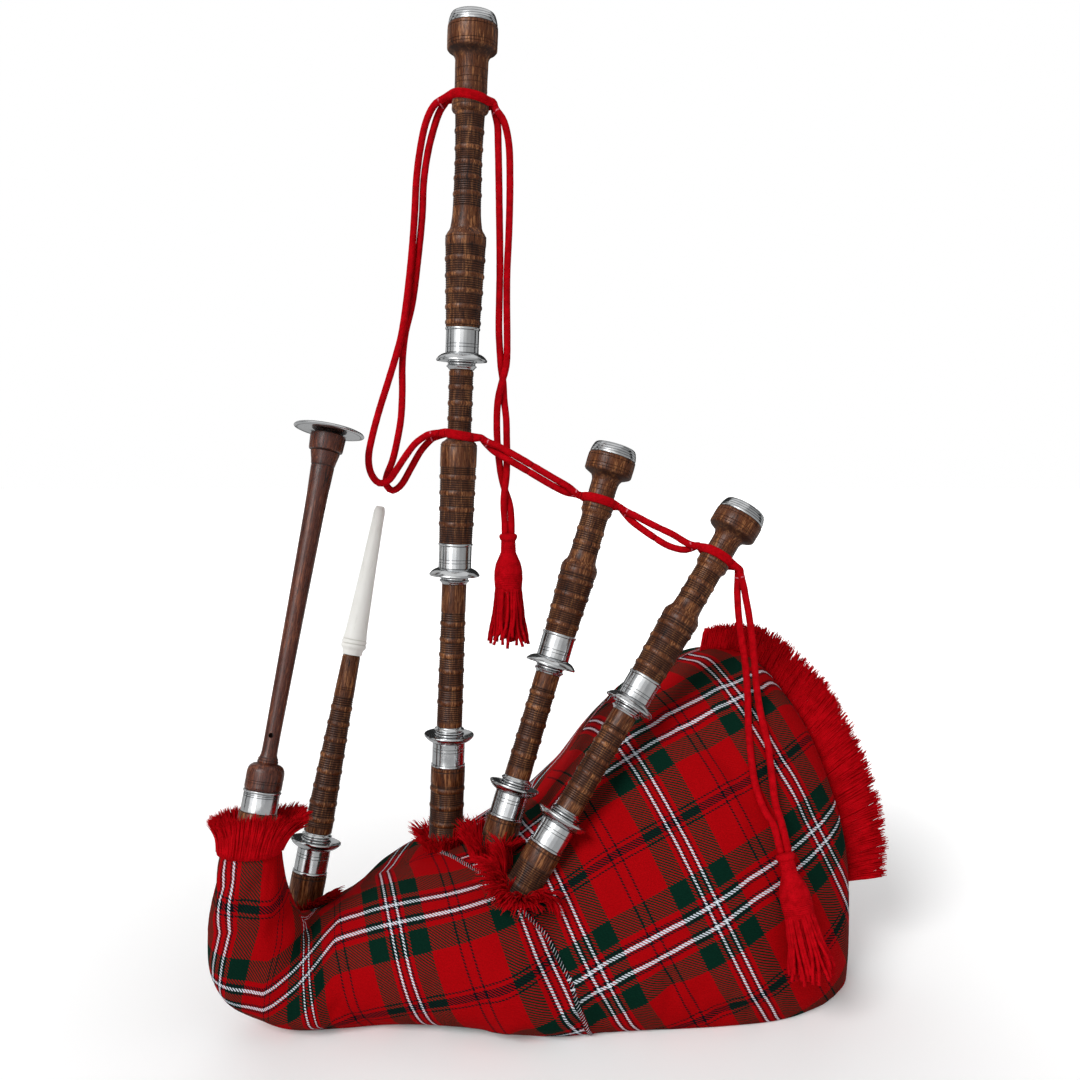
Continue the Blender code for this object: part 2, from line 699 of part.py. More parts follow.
def top_joint(name, rim, shape, parent):
    """A drone's top joint: socket, bulge, combed waist, cord seat and bell, with its mount and cap."""
    flare, flare_radius = shape["flare"]
    comb_end, comb_end_radius = shape["comb_end"]
    cord = shape["cord"]
    neck = shape["neck"]
    waist = shape["waist"]
    middle = (flare + comb_end) / 2
    collar_low = cord - CORD_RADIUS - CORD_COLLAR_LENGTH
    outline = (
        bulge(rim, shape["bulge"], shape["beads"], shape["shoulder"], shape["plain"])
        + [(flare_radius + 1.8, shape["shoulder"] + 6.0), (flare_radius, flare)]
        + combed(flare, flare_radius, middle, waist, shape["waist_beads"][0])
        + combed(middle, waist, comb_end, comb_end_radius, shape["waist_beads"][1])
        + [
            (comb_end_radius, collar_low - 1.0),
            (neck + CORD_COLLAR_RISE, collar_low + CORD_COLLAR_LENGTH / 3),
            (neck + CORD_COLLAR_RISE, cord - CORD_RADIUS - 2.0),
            (neck - 0.4, cord - CORD_RADIUS + 1.0),
        ]
        + bell_top(name, shape["end"], shape["bell"], neck, cord, parent)
        + socket(rim)
    )
    turned(f"{name}_top_joint", outline, WOOD, parent)
    flanged_mount(f"{name}_top_mount", rim, 1, parent)
    cord_loop(f"{name}_top_cord_loop", cord, neck, parent)


def cord_loop(name, station, seat_radius, parent):
    """One turn of cord round a drone's neck."""
    before = set(bpy.data.objects)
    bpy.ops.mesh.primitive_torus_add(
        major_radius=(seat_radius + CORD_RADIUS + SOFT_GAP) * MM,
        minor_radius=CORD_RADIUS * MM,
        major_segments=LOOP_MAJOR_STEPS,
        minor_segments=LOOP_SIDES,
    )
    obj = (set(bpy.data.objects) - before).pop()
    obj.name = name
    obj.data.name = name
    obj.data.transform(Matrix.Diagonal((1.0, 1.0, CORD_LOOP_HEIGHT, 1.0)))
    for owner in list(obj.users_collection):
        owner.objects.unlink(obj)
    parts.objects.link(obj)
    obj.parent = parent
    obj.location = (0.0, 0.0, station * MM)
    obj.data.shade_smooth()
    add_material(obj, WOOL)


def make_bass():
    axis = pipe_axis("bass", BASS_BASE, BASS_AIM)
    drone_stock("bass", BASS_STOCK_LENGTH, 4, axis)
    comb = (*BASS_LOWER_COMB, BASS_LOWER_BEAD_COUNT)
    lower_joint("bass", BASS_MIDDLE_RIM, BASS_LOWER_RADII, comb, BASS_REED_LENGTH, axis)
    head, pin = upper_end(BASS_TOP_RIM, BASS_MIDDLE_NECK_RADIUS)
    cord = BASS_MIDDLE_CORD
    neck = BASS_MIDDLE_NECK_RADIUS
    middle = (
        bulge(
            BASS_MIDDLE_RIM,
            BASS_MIDDLE_BULGE_RADII,
            BASS_MIDDLE_BEAD_COUNT,
            BASS_MIDDLE_SHOULDER,
            BASS_MIDDLE_PLAIN,
        )
        + [(neck, cord - CORD_RADIUS - 1.5), (neck, cord + CORD_RADIUS + 1.5)]
        + combed(cord + CORD_RADIUS + 2.0, neck, pin[0][1] - 1.0, neck, BASS_MIDDLE_UPPER_BEAD_COUNT)
        + pin
        + socket(BASS_MIDDLE_RIM)
    )
    turned("bass_middle_joint", middle, WOOD, axis)
    flanged_mount("bass_middle_mount", BASS_MIDDLE_RIM, 1, axis)
    collar("bass_middle_collar", head, -1, axis)
    cord_loop("bass_middle_cord_loop", cord, neck, axis)
    shape = {
        "beads": BASS_TOP_BEAD_COUNT,
        "bulge": BASS_TOP_BULGE_RADII,
        "shoulder": BASS_TOP_SHOULDER,
        "plain": BASS_TOP_PLAIN,
        "flare": BASS_TOP_FLARE,
        "comb_end": BASS_TOP_COMB_END,
        "waist": BASS_TOP_WAIST_RADIUS,
        "waist_beads": (3, BASS_TOP_UPPER_BEAD_COUNT - 3),
        "neck": BELL_NECK_RADIUS,
        "cord": BASS_CORD,
        "end": BASS_END,
        "bell": BELL_LENGTH,
    }
    top_joint("bass", BASS_TOP_RIM, shape, axis)
    return axis


def make_tenor(number):
    name = f"tenor_{number}"
    axis = pipe_axis(name, TENOR_BASES[number - 1], TENOR_AIMS[number - 1])
    drone_stock(name, TENOR_STOCK_LENGTH, 0, axis)
    comb = (*TENOR_LOWER_COMB, TENOR_LOWER_BEAD_COUNT)
    lower_joint(name, TENOR_TOP_RIM, TENOR_LOWER_RADII, comb, TENOR_REED_LENGTH, axis)
    shape = {
        "beads": TENOR_BEAD_COUNT,
        "bulge": TENOR_BULGE_RADII,
        "shoulder": TENOR_SHOULDER,
        "plain": TENOR_PLAIN,
        "flare": TENOR_FLARE,
        "comb_end": TENOR_COMB_END,
        "waist": TENOR_WAIST_RADIUS,
        "waist_beads": (1, TENOR_UPPER_BEAD_COUNT - 1),
        "neck": TENOR_NECK_RADIUS,
        "cord": TENOR_CORD,
        "end": TENOR_END,
        "bell": TENOR_BELL_LENGTH,
    }
    top_joint(name, TENOR_TOP_RIM, shape, axis)
    return axis


def make_chanter():
    """The chanter stands mouth up: its head sits in the stock, and its sole is at the top."""
    axis = pipe_axis("chanter", CHANTER_BASE, CHANTER_AIM)
    wood = FERRULE_RADIUS - FERRULE_WALL - FERRULE_GAP
    ferrule_foot = -CHANTER_FERRULE_LENGTH
    stock = [
        (STOCK_BORE_RADIUS, 0.0),
        (wood, 0.0),
        (wood, ferrule_foot - SEAT_GAP),
        (STOCK_RADIUS, ferrule_foot - SEAT_GAP),
        (STOCK_RADIUS, -CHANTER_STOCK_LENGTH + STOCK_CHAMFER),
        (STOCK_RADIUS - STOCK_CHAMFER, -CHANTER_STOCK_LENGTH),
        (STOCK_BORE_RADIUS, -CHANTER_STOCK_LENGTH),
    ]
    turned("chanter_stock", stock, WOOD, axis)
    ring = FERRULE_RADIUS + FERRULE_RING_RISE
    ferrule = [
        (wood + FERRULE_GAP, 0.0),
        (ring, 0.0),
        (ring, -FERRULE_RING_LENGTH),
        (FERRULE_RADIUS, -FERRULE_RING_LENGTH - 0.5),
        (FERRULE_RADIUS, ferrule_foot),
        (wood + FERRULE_GAP, ferrule_foot),
    ]
    turned("chanter_stock_ferrule", ferrule, METAL, axis, WIDE_STEPS)

    tenon = STOCK_BORE_RADIUS - TENON_GAP
    head_foot = SEAT_GAP
    head_top = head_foot + CHANTER_HEAD_LENGTH
    ring_top = head_top + CHANTER_RING_LENGTH
    seat_end = -TENON_LENGTH + CHANTER_REED_SEAT_DEPTH
    body = [(radius, station) for station, radius in CHANTER_BODY]
    body.append((CHANTER_THROAT_OUTER_RADIUS, CHANTER_LENGTH - CHANTER_THROAT_DROP))
    chanter = (
        [
            (CHANTER_REED_SEAT_RADIUS, -TENON_LENGTH),
            (tenon, -TENON_LENGTH),
            (tenon, head_foot),
            (CHANTER_HEAD_RADIUS - CHANTER_HEAD_EDGE, head_foot),
            (CHANTER_HEAD_RADIUS, head_foot + 2 * CHANTER_HEAD_EDGE),
            (CHANTER_HEAD_RADIUS, head_top - CHANTER_HEAD_ROUND),
            (CHANTER_HEAD_RADIUS - 2.5, head_top - 1.5),
            (CHANTER_RING_RADIUS, head_top),
            (CHANTER_RING_RADIUS, ring_top),
            (body[0][0] + 0.5, ring_top + 1.0),
        ]
        + body
        + [
            (CHANTER_STEP_RADIUS, body[-1][1] + 1.0),
            (CHANTER_STEP_RADIUS, CHANTER_LENGTH - CHANTER_STEP_DROP),
            (CHANTER_BULB_RADIUS, CHANTER_LENGTH - CHANTER_BULB_DROP - CHANTER_BULB_ROUND),
            (CHANTER_BULB_RADIUS, CHANTER_LENGTH - CHANTER_FOOT_DROP),
            (SOLE_SPIGOT_RADIUS, CHANTER_LENGTH - SOLE_SPIGOT_DROP),
            (SOLE_SPIGOT_RADIUS, CHANTER_LENGTH + SOLE_THICKNESS - 1.0),
            (CHANTER_MOUTH_RADIUS, CHANTER_LENGTH + SOLE_THICKNESS - 1.0),
            (CHANTER_THROAT_RADIUS, seat_end),
            (CHANTER_REED_SEAT_RADIUS, seat_end),
        ]
    )
    pipe = turned("chanter", chanter, CHANTER_WOOD, axis)
    holes = [("thumb_hole", THUMB_HOLE, -90.0)]
    for hole in range(FINGER_HOLES):
        station = FINGER_HOLE_FIRST + hole * FINGER_HOLE_PITCH
        holes.append((f"finger_hole_{hole + 1}", (station, FINGER_HOLE_RADIUS), 90.0))
    holes += [("left_sound_hole", SOUND_HOLE, 0.0), ("right_sound_hole", SOUND_HOLE, 180.0)]
    for name, (station, radius), side in holes:
        out = Vector((math.cos(math.radians(side)), math.sin(math.radians(side)), 0.0))
        level = Vector((0.0, 0.0, station))
        cutter = rod(name, level, level + out * CHANTER_HEAD_RADIUS, radius, HOLE_SIDES, axis)
        boolean(pipe, cutter)

    sole = [
        (SOLE_SPIGOT_RADIUS + SEAT_GAP, CHANTER_LENGTH + SOLE_THICKNESS),
        (SOLE_RADIUS - 6.0, CHANTER_LENGTH + SOLE_THICKNESS),
        (SOLE_RADIUS - 1.0, CHANTER_LENGTH + SOLE_THICKNESS - 1.2),
        (SOLE_RADIUS, CHANTER_LENGTH + 0.6),
        (SOLE_RADIUS - 2.5, CHANTER_LENGTH - 0.8),
        (SOLE_SPIGOT_RADIUS + 3.0, CHANTER_LENGTH - 0.8),
        (SOLE_SPIGOT_RADIUS + SEAT_GAP, CHANTER_LENGTH - 2.4),
    ]
    turned("chanter_sole", sole, METAL, axis, SOLE_STEPS)
    chanter_reed(seat_end - SEAT_GAP, axis)
    return axis


def chanter_reed(top, parent):
    """A round staple that opens into two flat blades of cane."""
    shape = bmesh.new()
    bmesh.ops.create_cone(
        shape,
        cap_ends=True,
        segments=12,
        radius1=0.5,
        radius2=0.5,
        depth=CHANTER_REED_LENGTH,
    )
    staple = CHANTER_STAPLE_RADIUS
    for vert in shape.verts:
        if vert.co.z > 0:
            vert.co.x *= 2 * staple
            vert.co.y *= 2 * staple
        else:
            vert.co.x *= CHANTER_REED_BLADE[0]
            vert.co.y *= CHANTER_REED_BLADE[1]
        vert.co.z += top - CHANTER_REED_LENGTH / 2
        vert.co *= MM
    mesh = bpy.data.meshes.new("chanter_reed")
    shape.to_mesh(mesh)
    shape.free()
    shade(mesh)
    add_object("chanter_reed", mesh, CANE, parent)


def make_blowpipe():
    axis = pipe_axis("blowpipe", BLOWPIPE_BASE, BLOWPIPE_AIM)
    drone_stock("blowpipe", BLOWPIPE_STOCK_LENGTH, 0, axis)
    foot, low = lower_end(BLOWPIPE_RADII[0])
    spigot_end = BLOWPIPE_LENGTH + MOUTHPIECE_SPIGOT_LENGTH
    comb_low, comb_high = BLOWPIPE_COMB
    pipe = (
        [(BLOWPIPE_BORE_RADIUS, -TENON_LENGTH), *low]
        + combed(comb_low, BLOWPIPE_RADII[0], comb_high, BLOWPIPE_COMB_END_RADIUS, BLOWPIPE_BEAD_COUNT)
        + [
            (BLOWPIPE_RADII[1], BLOWPIPE_LENGTH),
            (MOUTHPIECE_SPIGOT_RADIUS, BLOWPIPE_LENGTH),
            (MOUTHPIECE_SPIGOT_RADIUS, spigot_end),
            (BLOWPIPE_BORE_RADIUS, spigot_end),
        ]
    )
    turned("blowpipe", pipe, WOOD, axis)
    collar("blowpipe_collar", foot, 1, axis)

    base = BLOWPIPE_LENGTH + SEAT_GAP
    socket_radius = MOUTHPIECE_SPIGOT_RADIUS + SEAT_GAP
    tip = base + MOUTHPIECE_LENGTH
    mouthpiece = (
        [(socket_radius, base)]
        + [(radius, base + height) for height, radius in MOUTHPIECE_PROFILE]
        + [
            (MOUTHPIECE_TIP_RADIUS, tip - MOUTHPIECE_BIT_LENGTH),
            (MOUTHPIECE_TIP_RADIUS - 0.8, tip),
            (MOUTHPIECE_BORE_RADIUS, tip),
            (MOUTHPIECE_BORE_RADIUS, spigot_end + 3.0),
            (socket_radius, spigot_end + SEAT_GAP),
        ]
    )
    turned("mouthpiece", mouthpiece, IVORY, axis)

    hinge = bpy.data.objects.new("valve_hinge", None)
    parts.objects.link(hinge)
    hinge.parent = axis
    hinge.location = Vector((-VALVE_RADIUS, 0.0, -TENON_LENGTH - SEAT_GAP - VALVE_THICKNESS / 2)) * MM
    top = (VALVE_RADIUS, 0.0, VALVE_THICKNESS / 2)
    bottom = (VALVE_RADIUS, 0.0, -VALVE_THICKNESS / 2)
    rod("blowpipe_valve", bottom, top, VALVE_RADIUS, SLIM_STEPS, hinge, RUBBER)
    return axis


def ring_points(middle, lean, half_height, half_depth, back, sides, grow, floor):
    """One closed ring of the bag: a superellipse in a leaning plane, cut off flat at the floor."""
    tilt = math.radians(lean)
    up = Vector((math.cos(tilt), 0.0, math.sin(tilt)))
    power = 2 / BAG_SQUARENESS
    points = []
    for side in range(sides):
        angle = math.tau * side / sides
        across, rise = math.cos(angle), math.sin(angle)
        across = math.copysign(abs(across) ** power, across)
        rise = math.copysign(abs(rise) ** power, rise)
        point = Vector(middle) + up * rise * (half_height + grow)
        point.y += across * (half_depth + grow) + back * rise
        point.z = max(point.z, floor)
        points.append(point)
    return points


def bag_rings(sides, grow, floor):
    """Rings from the open neck to the closed end."""
    rings = [ring_points(*station, sides, grow, floor) for station in NECK_RINGS]
    for x, y, top, half_depth, back in TRUNK_RINGS:
        half_height = (top + TRUNK_SINK) / 2
        middle = (x, y, top - half_height)
        rings.append(ring_points(middle, 90.0, half_height, half_depth, back, sides, grow, floor))
    return rings


def loft(name, rings, finish, end=None, closed_start=False):
    """A skin over rings of equal count, in millimetres, with an optional point that closes its end."""
    shape = bmesh.new()
    made = [[shape.verts.new(point * MM) for point in ring] for ring in rings]
    for first, second in zip(made, made[1:], strict=False):
        for i in range(len(first)):
            j = (i + 1) % len(first)
            shape.faces.new((first[i], first[j], second[j], second[i]))
    if end:
        tip = shape.verts.new(Vector(end) * MM)
        for i in range(len(made[-1])):
            shape.faces.new((made[-1][i], made[-1][(i + 1) % len(made[-1])], tip))
    if closed_start:
        shape.faces.new(list(reversed(made[0])))
    bmesh.ops.recalc_face_normals(shape, faces=shape.faces)
    mesh = bpy.data.meshes.new(name)
    shape.to_mesh(mesh)
    shape.free()
    mesh.shade_smooth()
    return add_object(name, mesh, finish)


def solidify(obj, wall):
    skin = obj.modifiers.new("Wall", "SOLIDIFY")
    skin.thickness = wall * MM
    skin.offset = -1.0


def make_bag(axes):
    """The cover, the hide bag inside it, and the frills and fringe at their edges."""
    cover = loft("bag_cover", bag_rings(COVER_SIDES, 0.0, 0.0), TARTAN, BAG_END)
    solidify(cover, COVER_WALL)
    inset = BAG_INSET
    rings = bag_rings(BAG_SIDES, -inset, COVER_WALL + SOFT_GAP)[:-1]
    direction = (Vector(CHANTER_AIM) - Vector(CHANTER_BASE)).normalized()
    tie_middle = Vector(CHANTER_BASE) - direction * BAG_TIE_DEPTH
    neck = ring_points(tie_middle, 0.0, BAG_TIE_RADIUS, BAG_TIE_RADIUS, 0.0, BAG_SIDES, 0.0, 0.0)
    rings[0] = neck
    end = Vector(BAG_END) - Vector((2 * inset, 0.0, 0.0))
    bag = loft("inner_bag", rings, HIDE, end)
    solidify(bag, BAG_WALL)
    lengths = {
        "bass": BASS_STOCK_LENGTH,
        "tenor_1": TENOR_STOCK_LENGTH,
        "tenor_2": TENOR_STOCK_LENGTH,
        "blowpipe": BLOWPIPE_STOCK_LENGTH,
        "chanter": CHANTER_STOCK_LENGTH,
    }
    for name, axis in axes.items():
        foot = (0.0, 0.0, -lengths[name] - SEAT_GAP)
        rim = (0.0, 0.0, 0.0)
        hole = rod(f"{name}_stock_hole", foot, rim, STOCK_RADIUS + SOFT_GAP, SLIM_STEPS, axis)
        boolean(bag, hole)
        if name != "chanter":
            boolean(cover, hole)
    seat = loft("frill_seat", bag_rings(COVER_SIDES, SOFT_GAP, -SOFT_GAP), None, BAG_END, True)
    for name, station in FRILL_STATIONS.items():
        frill(f"{name}_frill", station, axes[name], seat)
    neck_frill()
    end_fringe()


def frill(name, station, parent, seat):
    """A gathered ruff round a stock, cut to sit on the cover."""
    inner = STOCK_RADIUS + SOFT_GAP
    levels = (
        (inner + 0.4, -FRILL_ROOT, 0.0),
        (inner + FRILL_WALL, -FRILL_ROOT, 0.0),
        (inner + FRILL_WALL + FRILL_FLARE * 0.3, FRILL_HEIGHT * 0.45, 0.0),
        (inner + FRILL_WALL + FRILL_FLARE, FRILL_HEIGHT, FRILL_RIPPLE),
        (inner + FRILL_FLARE * 0.8, FRILL_HEIGHT, FRILL_RIPPLE),
        (inner + 0.4, FRILL_HEIGHT * 0.3, 0.0),
    )
    shape = bmesh.new()
    rings = []
    for radius, height, ripple in levels:
        ring = []
        for i in range(FRILL_POINTS):
            angle = math.tau * i / FRILL_POINTS
            reach = radius + ripple * (1 if i % 2 else -1)
            point = (reach * math.cos(angle), reach * math.sin(angle), station + height)
            ring.append(shape.verts.new(Vector(point) * MM))
        rings.append(ring)
    for first, second in zip(rings, rings[1:] + rings[:1], strict=True):
        for i in range(FRILL_POINTS):
            j = (i + 1) % FRILL_POINTS
            shape.faces.new((first[i], first[j], second[j], second[i]))
    bmesh.ops.recalc_face_normals(shape, faces=shape.faces)
    mesh = bpy.data.meshes.new(name)
    shape.to_mesh(mesh)
    shape.free()
    mesh.shade_smooth()
    boolean(add_object(name, mesh, WOOL, parent), seat)


def neck_frill():
    """The fringed top edge of the neck sleeve, round the chanter stock's ferrule."""
    middle, lean, half_height, half_depth, back = NECK_RINGS[0]
    direction = (Vector(CHANTER_AIM) - Vector(CHANTER_BASE)).normalized()
    rings = []
    for share in (0.0, 0.55, 1.0):
        rise = SOFT_GAP + NECK_FRILL_HEIGHT * share
        centre = Vector(middle) + direction * rise
        ring = ring_points(
            centre,
            lean,
            half_height,
            half_depth,
            back,
            FRILL_POINTS,
            NECK_FRILL_FLARE * share,
            0.0,
        )
        for i, point in enumerate(ring):
            out = (point - centre).normalized() * (FRILL_RIPPLE * share * (1 if i % 2 else -1))
            ring[i] = point + out
        rings.append(ring)
    obj = loft("chanter_frill", rings[::-1], WOOL)
    solidify(obj, FRILL_WALL)


def end_fringe():
    """The wool fringe that stands out from the seam at the bag's end."""
    rings = bag_rings(COVER_SIDES, SOFT_GAP, 0.0)[len(NECK_RINGS) + FRINGE_FIRST_RING :]
    seam = [ring[COVER_SIDES // 4] for ring in rings]
    seam.append(Vector(BAG_END) + Vector((SOFT_GAP, 0.0, 0.0)))
    middle = Vector((seam[0].x, seam[0].y, BAG_END[2]))
    shape = bmesh.new()
    rows = []
    for point, length in zip(seam, FRINGE_LENGTHS, strict=True):
        out = Vector((point.x - middle.x + FRINGE_LEAN, 0.0, point.z - middle.z)).normalized()
        row = []
        for side in (-1, 1):
            for reach in (SOFT_GAP, length):
                place = point + out * reach + Vector((0.0, side * FRINGE_THICKNESS / 2, 0.0))
                row.append(shape.verts.new(place * MM))
        rows.append(row)
    for first, second in zip(rows, rows[1:], strict=False):
        for a, b in ((0, 1), (1, 3), (3, 2), (2, 0)):
            shape.faces.new((first[a], first[b], second[b], second[a]))
    shape.faces.new([rows[0][k] for k in (0, 1, 3, 2)])
    shape.faces.new([rows[-1][k] for k in (0, 1, 3, 2)])
    bmesh.ops.recalc_face_normals(shape, faces=shape.faces)
    mesh = bpy.data.meshes.new("end_fringe")
    shape.to_mesh(mesh)
    shape.free()
    add_object("end_fringe", mesh, WOOL)


def smooth_rows(rows, spacing):
    """Rows at an even pace on a smooth curve through the given ones. A row starts with its place."""
    rows = [Vector(row) for row in rows]
    ends = [2 * rows[0] - rows[1], *rows, 2 * rows[-1] - rows[-2]]
    dense = []
    for before, low, high, after in zip(ends, ends[1:], ends[2:], ends[3:], strict=False):
        for step in range(12):
            t = step / 12
            blend = 2 * low + (high - before) * t
            blend += (2 * before - 5 * low + 4 * high - after) * t * t
            blend += (3 * low - before - 3 * high + after) * t * t * t
            dense.append(blend / 2)
    dense.append(rows[-1])
    reach = [0.0]
    for low, high in zip(dense, dense[1:], strict=False):
        reach.append(reach[-1] + math.dist(low[:3], high[:3]))
    count = max(2, round(reach[-1] / spacing))
    made = []
    place = 0
    for step in range(count + 1):
        target = reach[-1] * step / count
        while place < len(reach) - 2 and reach[place + 1] < target:
            place += 1
        share = (target - reach[place]) / (reach[place + 1] - reach[place])
        made.append(dense[place].lerp(dense[place + 1], min(share, 1.0)))
    return made


def pair_strands(rows):
    """The two strands of a stretch, from the middle of the pair, its half spacing and its turn."""
    smooth = smooth_rows([(*place, spread, turn) for place, spread, turn in rows], CORD_SPACING)
    strands = ([], [])
    for i, row in enumerate(smooth):
        low, high = smooth[max(i - 1, 0)], smooth[min(i + 1, len(smooth) - 1)]
        run = Vector(high[:3]) - Vector(low[:3])
        side = Vector((-run.z, 0.0, run.x)).normalized()
        turn = math.radians(row[4])
        offset = row[3] * (math.cos(turn) * side + math.sin(turn) * Vector((0.0, -1.0, 0.0)))
        strands[0].append(Vector(row[:3]) - offset)
        strands[1].append(Vector(row[:3]) + offset)
    return strands


def strand(name, points, finish=None):
    """One strand: a bevelled curve made into a mesh, with its caps joined on."""
    curve = bpy.data.curves.new(name, "CURVE")
    curve.dimensions = "3D"
    curve.bevel_depth = CORD_RADIUS * MM
    curve.bevel_resolution = 2
    curve.use_fill_caps = True
    spline = curve.splines.new("POLY")
    spline.points.add(len(points) - 1)
    for point, place in zip(spline.points, points, strict=True):
        point.co = (*(place * MM), 1.0)
    guide = bpy.data.objects.new(name + "_guide", curve)
    cutters.objects.link(guide)
    mesh = evaluated_mesh(guide)
    bpy.data.objects.remove(guide, do_unlink=True)
    shape = bmesh.new()
    shape.from_mesh(mesh)
    bmesh.ops.remove_doubles(shape, verts=shape.verts, dist=0.00001)
    shape.to_mesh(mesh)
    shape.free()
    mesh.shade_smooth()
    return add_object(name, mesh, finish)


def band(name, strands, place):
    """The thread wound round both strands, a little way from their end."""
    spots = []
    runs = []
    for points in strands:
        points = points if place > 0 else points[::-1]
        run = (points[1] - points[0]).normalized()
        spots.append(points[0] + run * abs(place))
        runs.append(run)
    across = (spots[1] - spots[0]) / 2
    along = (runs[0] + runs[1]).normalized()
    flat = along.cross(across).normalized()
    across = flat.cross(along).normalized() * (across.length + CORD_RADIUS + BAND_THICKNESS)
    flat *= CORD_RADIUS + BAND_THICKNESS
    shape = bmesh.new()
    bmesh.ops.create_cone(shape, cap_ends=True, segments=BAND_SIDES, radius1=1.0, radius2=1.0, depth=1.0)
    turn = Matrix((across, flat, along * BAND_LENGTH)).transposed().to_4x4()
    shape.transform(Matrix.Scale(MM, 4) @ Matrix.Translation((spots[0] + spots[1]) / 2) @ turn)
    bmesh.ops.recalc_face_normals(shape, faces=shape.faces)
    mesh = bpy.data.meshes.new(name)
    shape.to_mesh(mesh)
    shape.free()
    return add_object(name, mesh)


def cord_stretch(name, strands, places):
    """Two strands with their bands, joined into one body."""
    first = strand(name, strands[0], WOOL)
    boolean(first, strand(f"{name}_second", strands[1]), "UNION")
    for number, place in enumerate(places, 1):
        boolean(first, band(f"{name}_band_{number}", strands, place), "UNION")


def make_cord():
    """The cord that ties the three drones together, with a tassel at each end."""
    loop = (smooth_rows(LEFT_LOOP_OUTER, CORD_SPACING), smooth_rows(LEFT_LOOP_INNER, CORD_SPACING))
    cord_stretch("cord_bass_drop", pair_strands(BASS_DROP), (BAND_PLACE,))
    cord_stretch("cord_left_loop", loop, (BAND_PLACE, -BAND_PLACE))
    cord_stretch("cord_bass_to_tenor_1", pair_strands(BASS_TO_TENOR), (BAND_PLACE, -BAND_PLACE))
    cord_stretch("cord_tenor_1_to_tenor_2", pair_strands(TENOR_TO_TENOR), (BAND_PLACE, -BAND_PLACE))
    cord_stretch("cord_tenor_2_drop", pair_strands(TENOR_DROP), (BAND_PLACE,))
    length = TASSEL_PROFILE[-1][0]
    for number, (top, aim) in enumerate(zip(TASSEL_TOPS, TASSEL_AIMS, strict=True), 1):
        axis = pipe_axis(f"tassel_{number}", top, aim)
        outline = [(0.0, 0.0), *((radius, depth) for depth, radius in TASSEL_PROFILE), (0.0, length)]
        turned(f"tassel_{number}", outline, WOOL, axis, TASSEL_STEPS)


clear_scene()
parts = collection(PART)
cutters = collection("cutters")
pipe_axes = {
    "bass": make_bass(),
    "tenor_1": make_tenor(1),
    "tenor_2": make_tenor(2),
    "blowpipe": make_blowpipe(),
    "chanter": make_chanter(),
}
make_bag(pipe_axes)
make_cord()
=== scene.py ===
"""Looks for a highland bagpipe: turned and combed wood, polished mounts, a tartan cover and a wool cord.

Lengths in the lists below are millimetres unless a comment says otherwise, and MM turns them into metres.
A pipe's pieces are drawn in its own frame: station 0 is the rim of its stock, and Z runs up the pipe.
"""

import json
import math
import random

import bmesh
import bpy
import numpy as np
from mathutils import Matrix, Vector, noise
from mathutils.bvhtree import BVHTree


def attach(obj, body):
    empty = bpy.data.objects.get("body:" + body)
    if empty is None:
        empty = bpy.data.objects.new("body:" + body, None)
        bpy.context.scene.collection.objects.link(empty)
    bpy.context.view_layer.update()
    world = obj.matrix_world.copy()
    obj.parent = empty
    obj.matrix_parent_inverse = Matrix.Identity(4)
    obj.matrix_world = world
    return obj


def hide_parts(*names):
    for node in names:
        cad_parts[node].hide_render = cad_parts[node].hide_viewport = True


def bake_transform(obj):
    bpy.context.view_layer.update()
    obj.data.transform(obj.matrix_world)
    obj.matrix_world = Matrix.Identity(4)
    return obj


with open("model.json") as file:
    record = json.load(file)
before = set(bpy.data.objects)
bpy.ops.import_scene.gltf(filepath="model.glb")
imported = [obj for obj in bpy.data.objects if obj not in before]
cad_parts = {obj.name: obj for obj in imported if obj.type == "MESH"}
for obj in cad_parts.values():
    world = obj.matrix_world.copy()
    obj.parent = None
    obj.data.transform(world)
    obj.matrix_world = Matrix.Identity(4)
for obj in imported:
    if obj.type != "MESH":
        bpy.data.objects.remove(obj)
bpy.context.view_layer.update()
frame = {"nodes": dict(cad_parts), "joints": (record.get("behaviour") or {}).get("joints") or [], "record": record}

MM = 0.001
STEPS = 72
BODY_OF = {node: body for body, nodes in frame["record"]["behaviour"]["bodies"].items() for node in nodes}

# Pipes: the joint whose axis each one follows. Its position is 20 mm below the rim of the stock
AXIS_JOINTS = {
    "bass": "bass_bottom_turn",
    "tenor_1": "tenor_1_bottom_turn",
    "tenor_2": "tenor_2_bottom_turn",
    "chanter": "chanter_turn",
    "blowpipe": "blowpipe_turn",
}
JOINT_DEPTH = 20.0

# Bag cover rings, as the solid has them: middle, lean, half height, half depth, backward lean
NECK_RINGS = (
    ((-271.0, -134.0, 190.0), 0.0, 27.0, 24.0, 0.0),
    ((-272.0, -138.0, 152.0), 4.0, 33.0, 29.0, 0.0),
    ((-272.0, -132.0, 112.0), 16.0, 42.0, 34.0, 0.0),
    ((-262.0, -118.0, 74.0), 42.0, 52.0, 46.0, 0.0),
    ((-236.0, -92.0, 50.0), 72.0, 52.0, 66.0, 0.0),
)
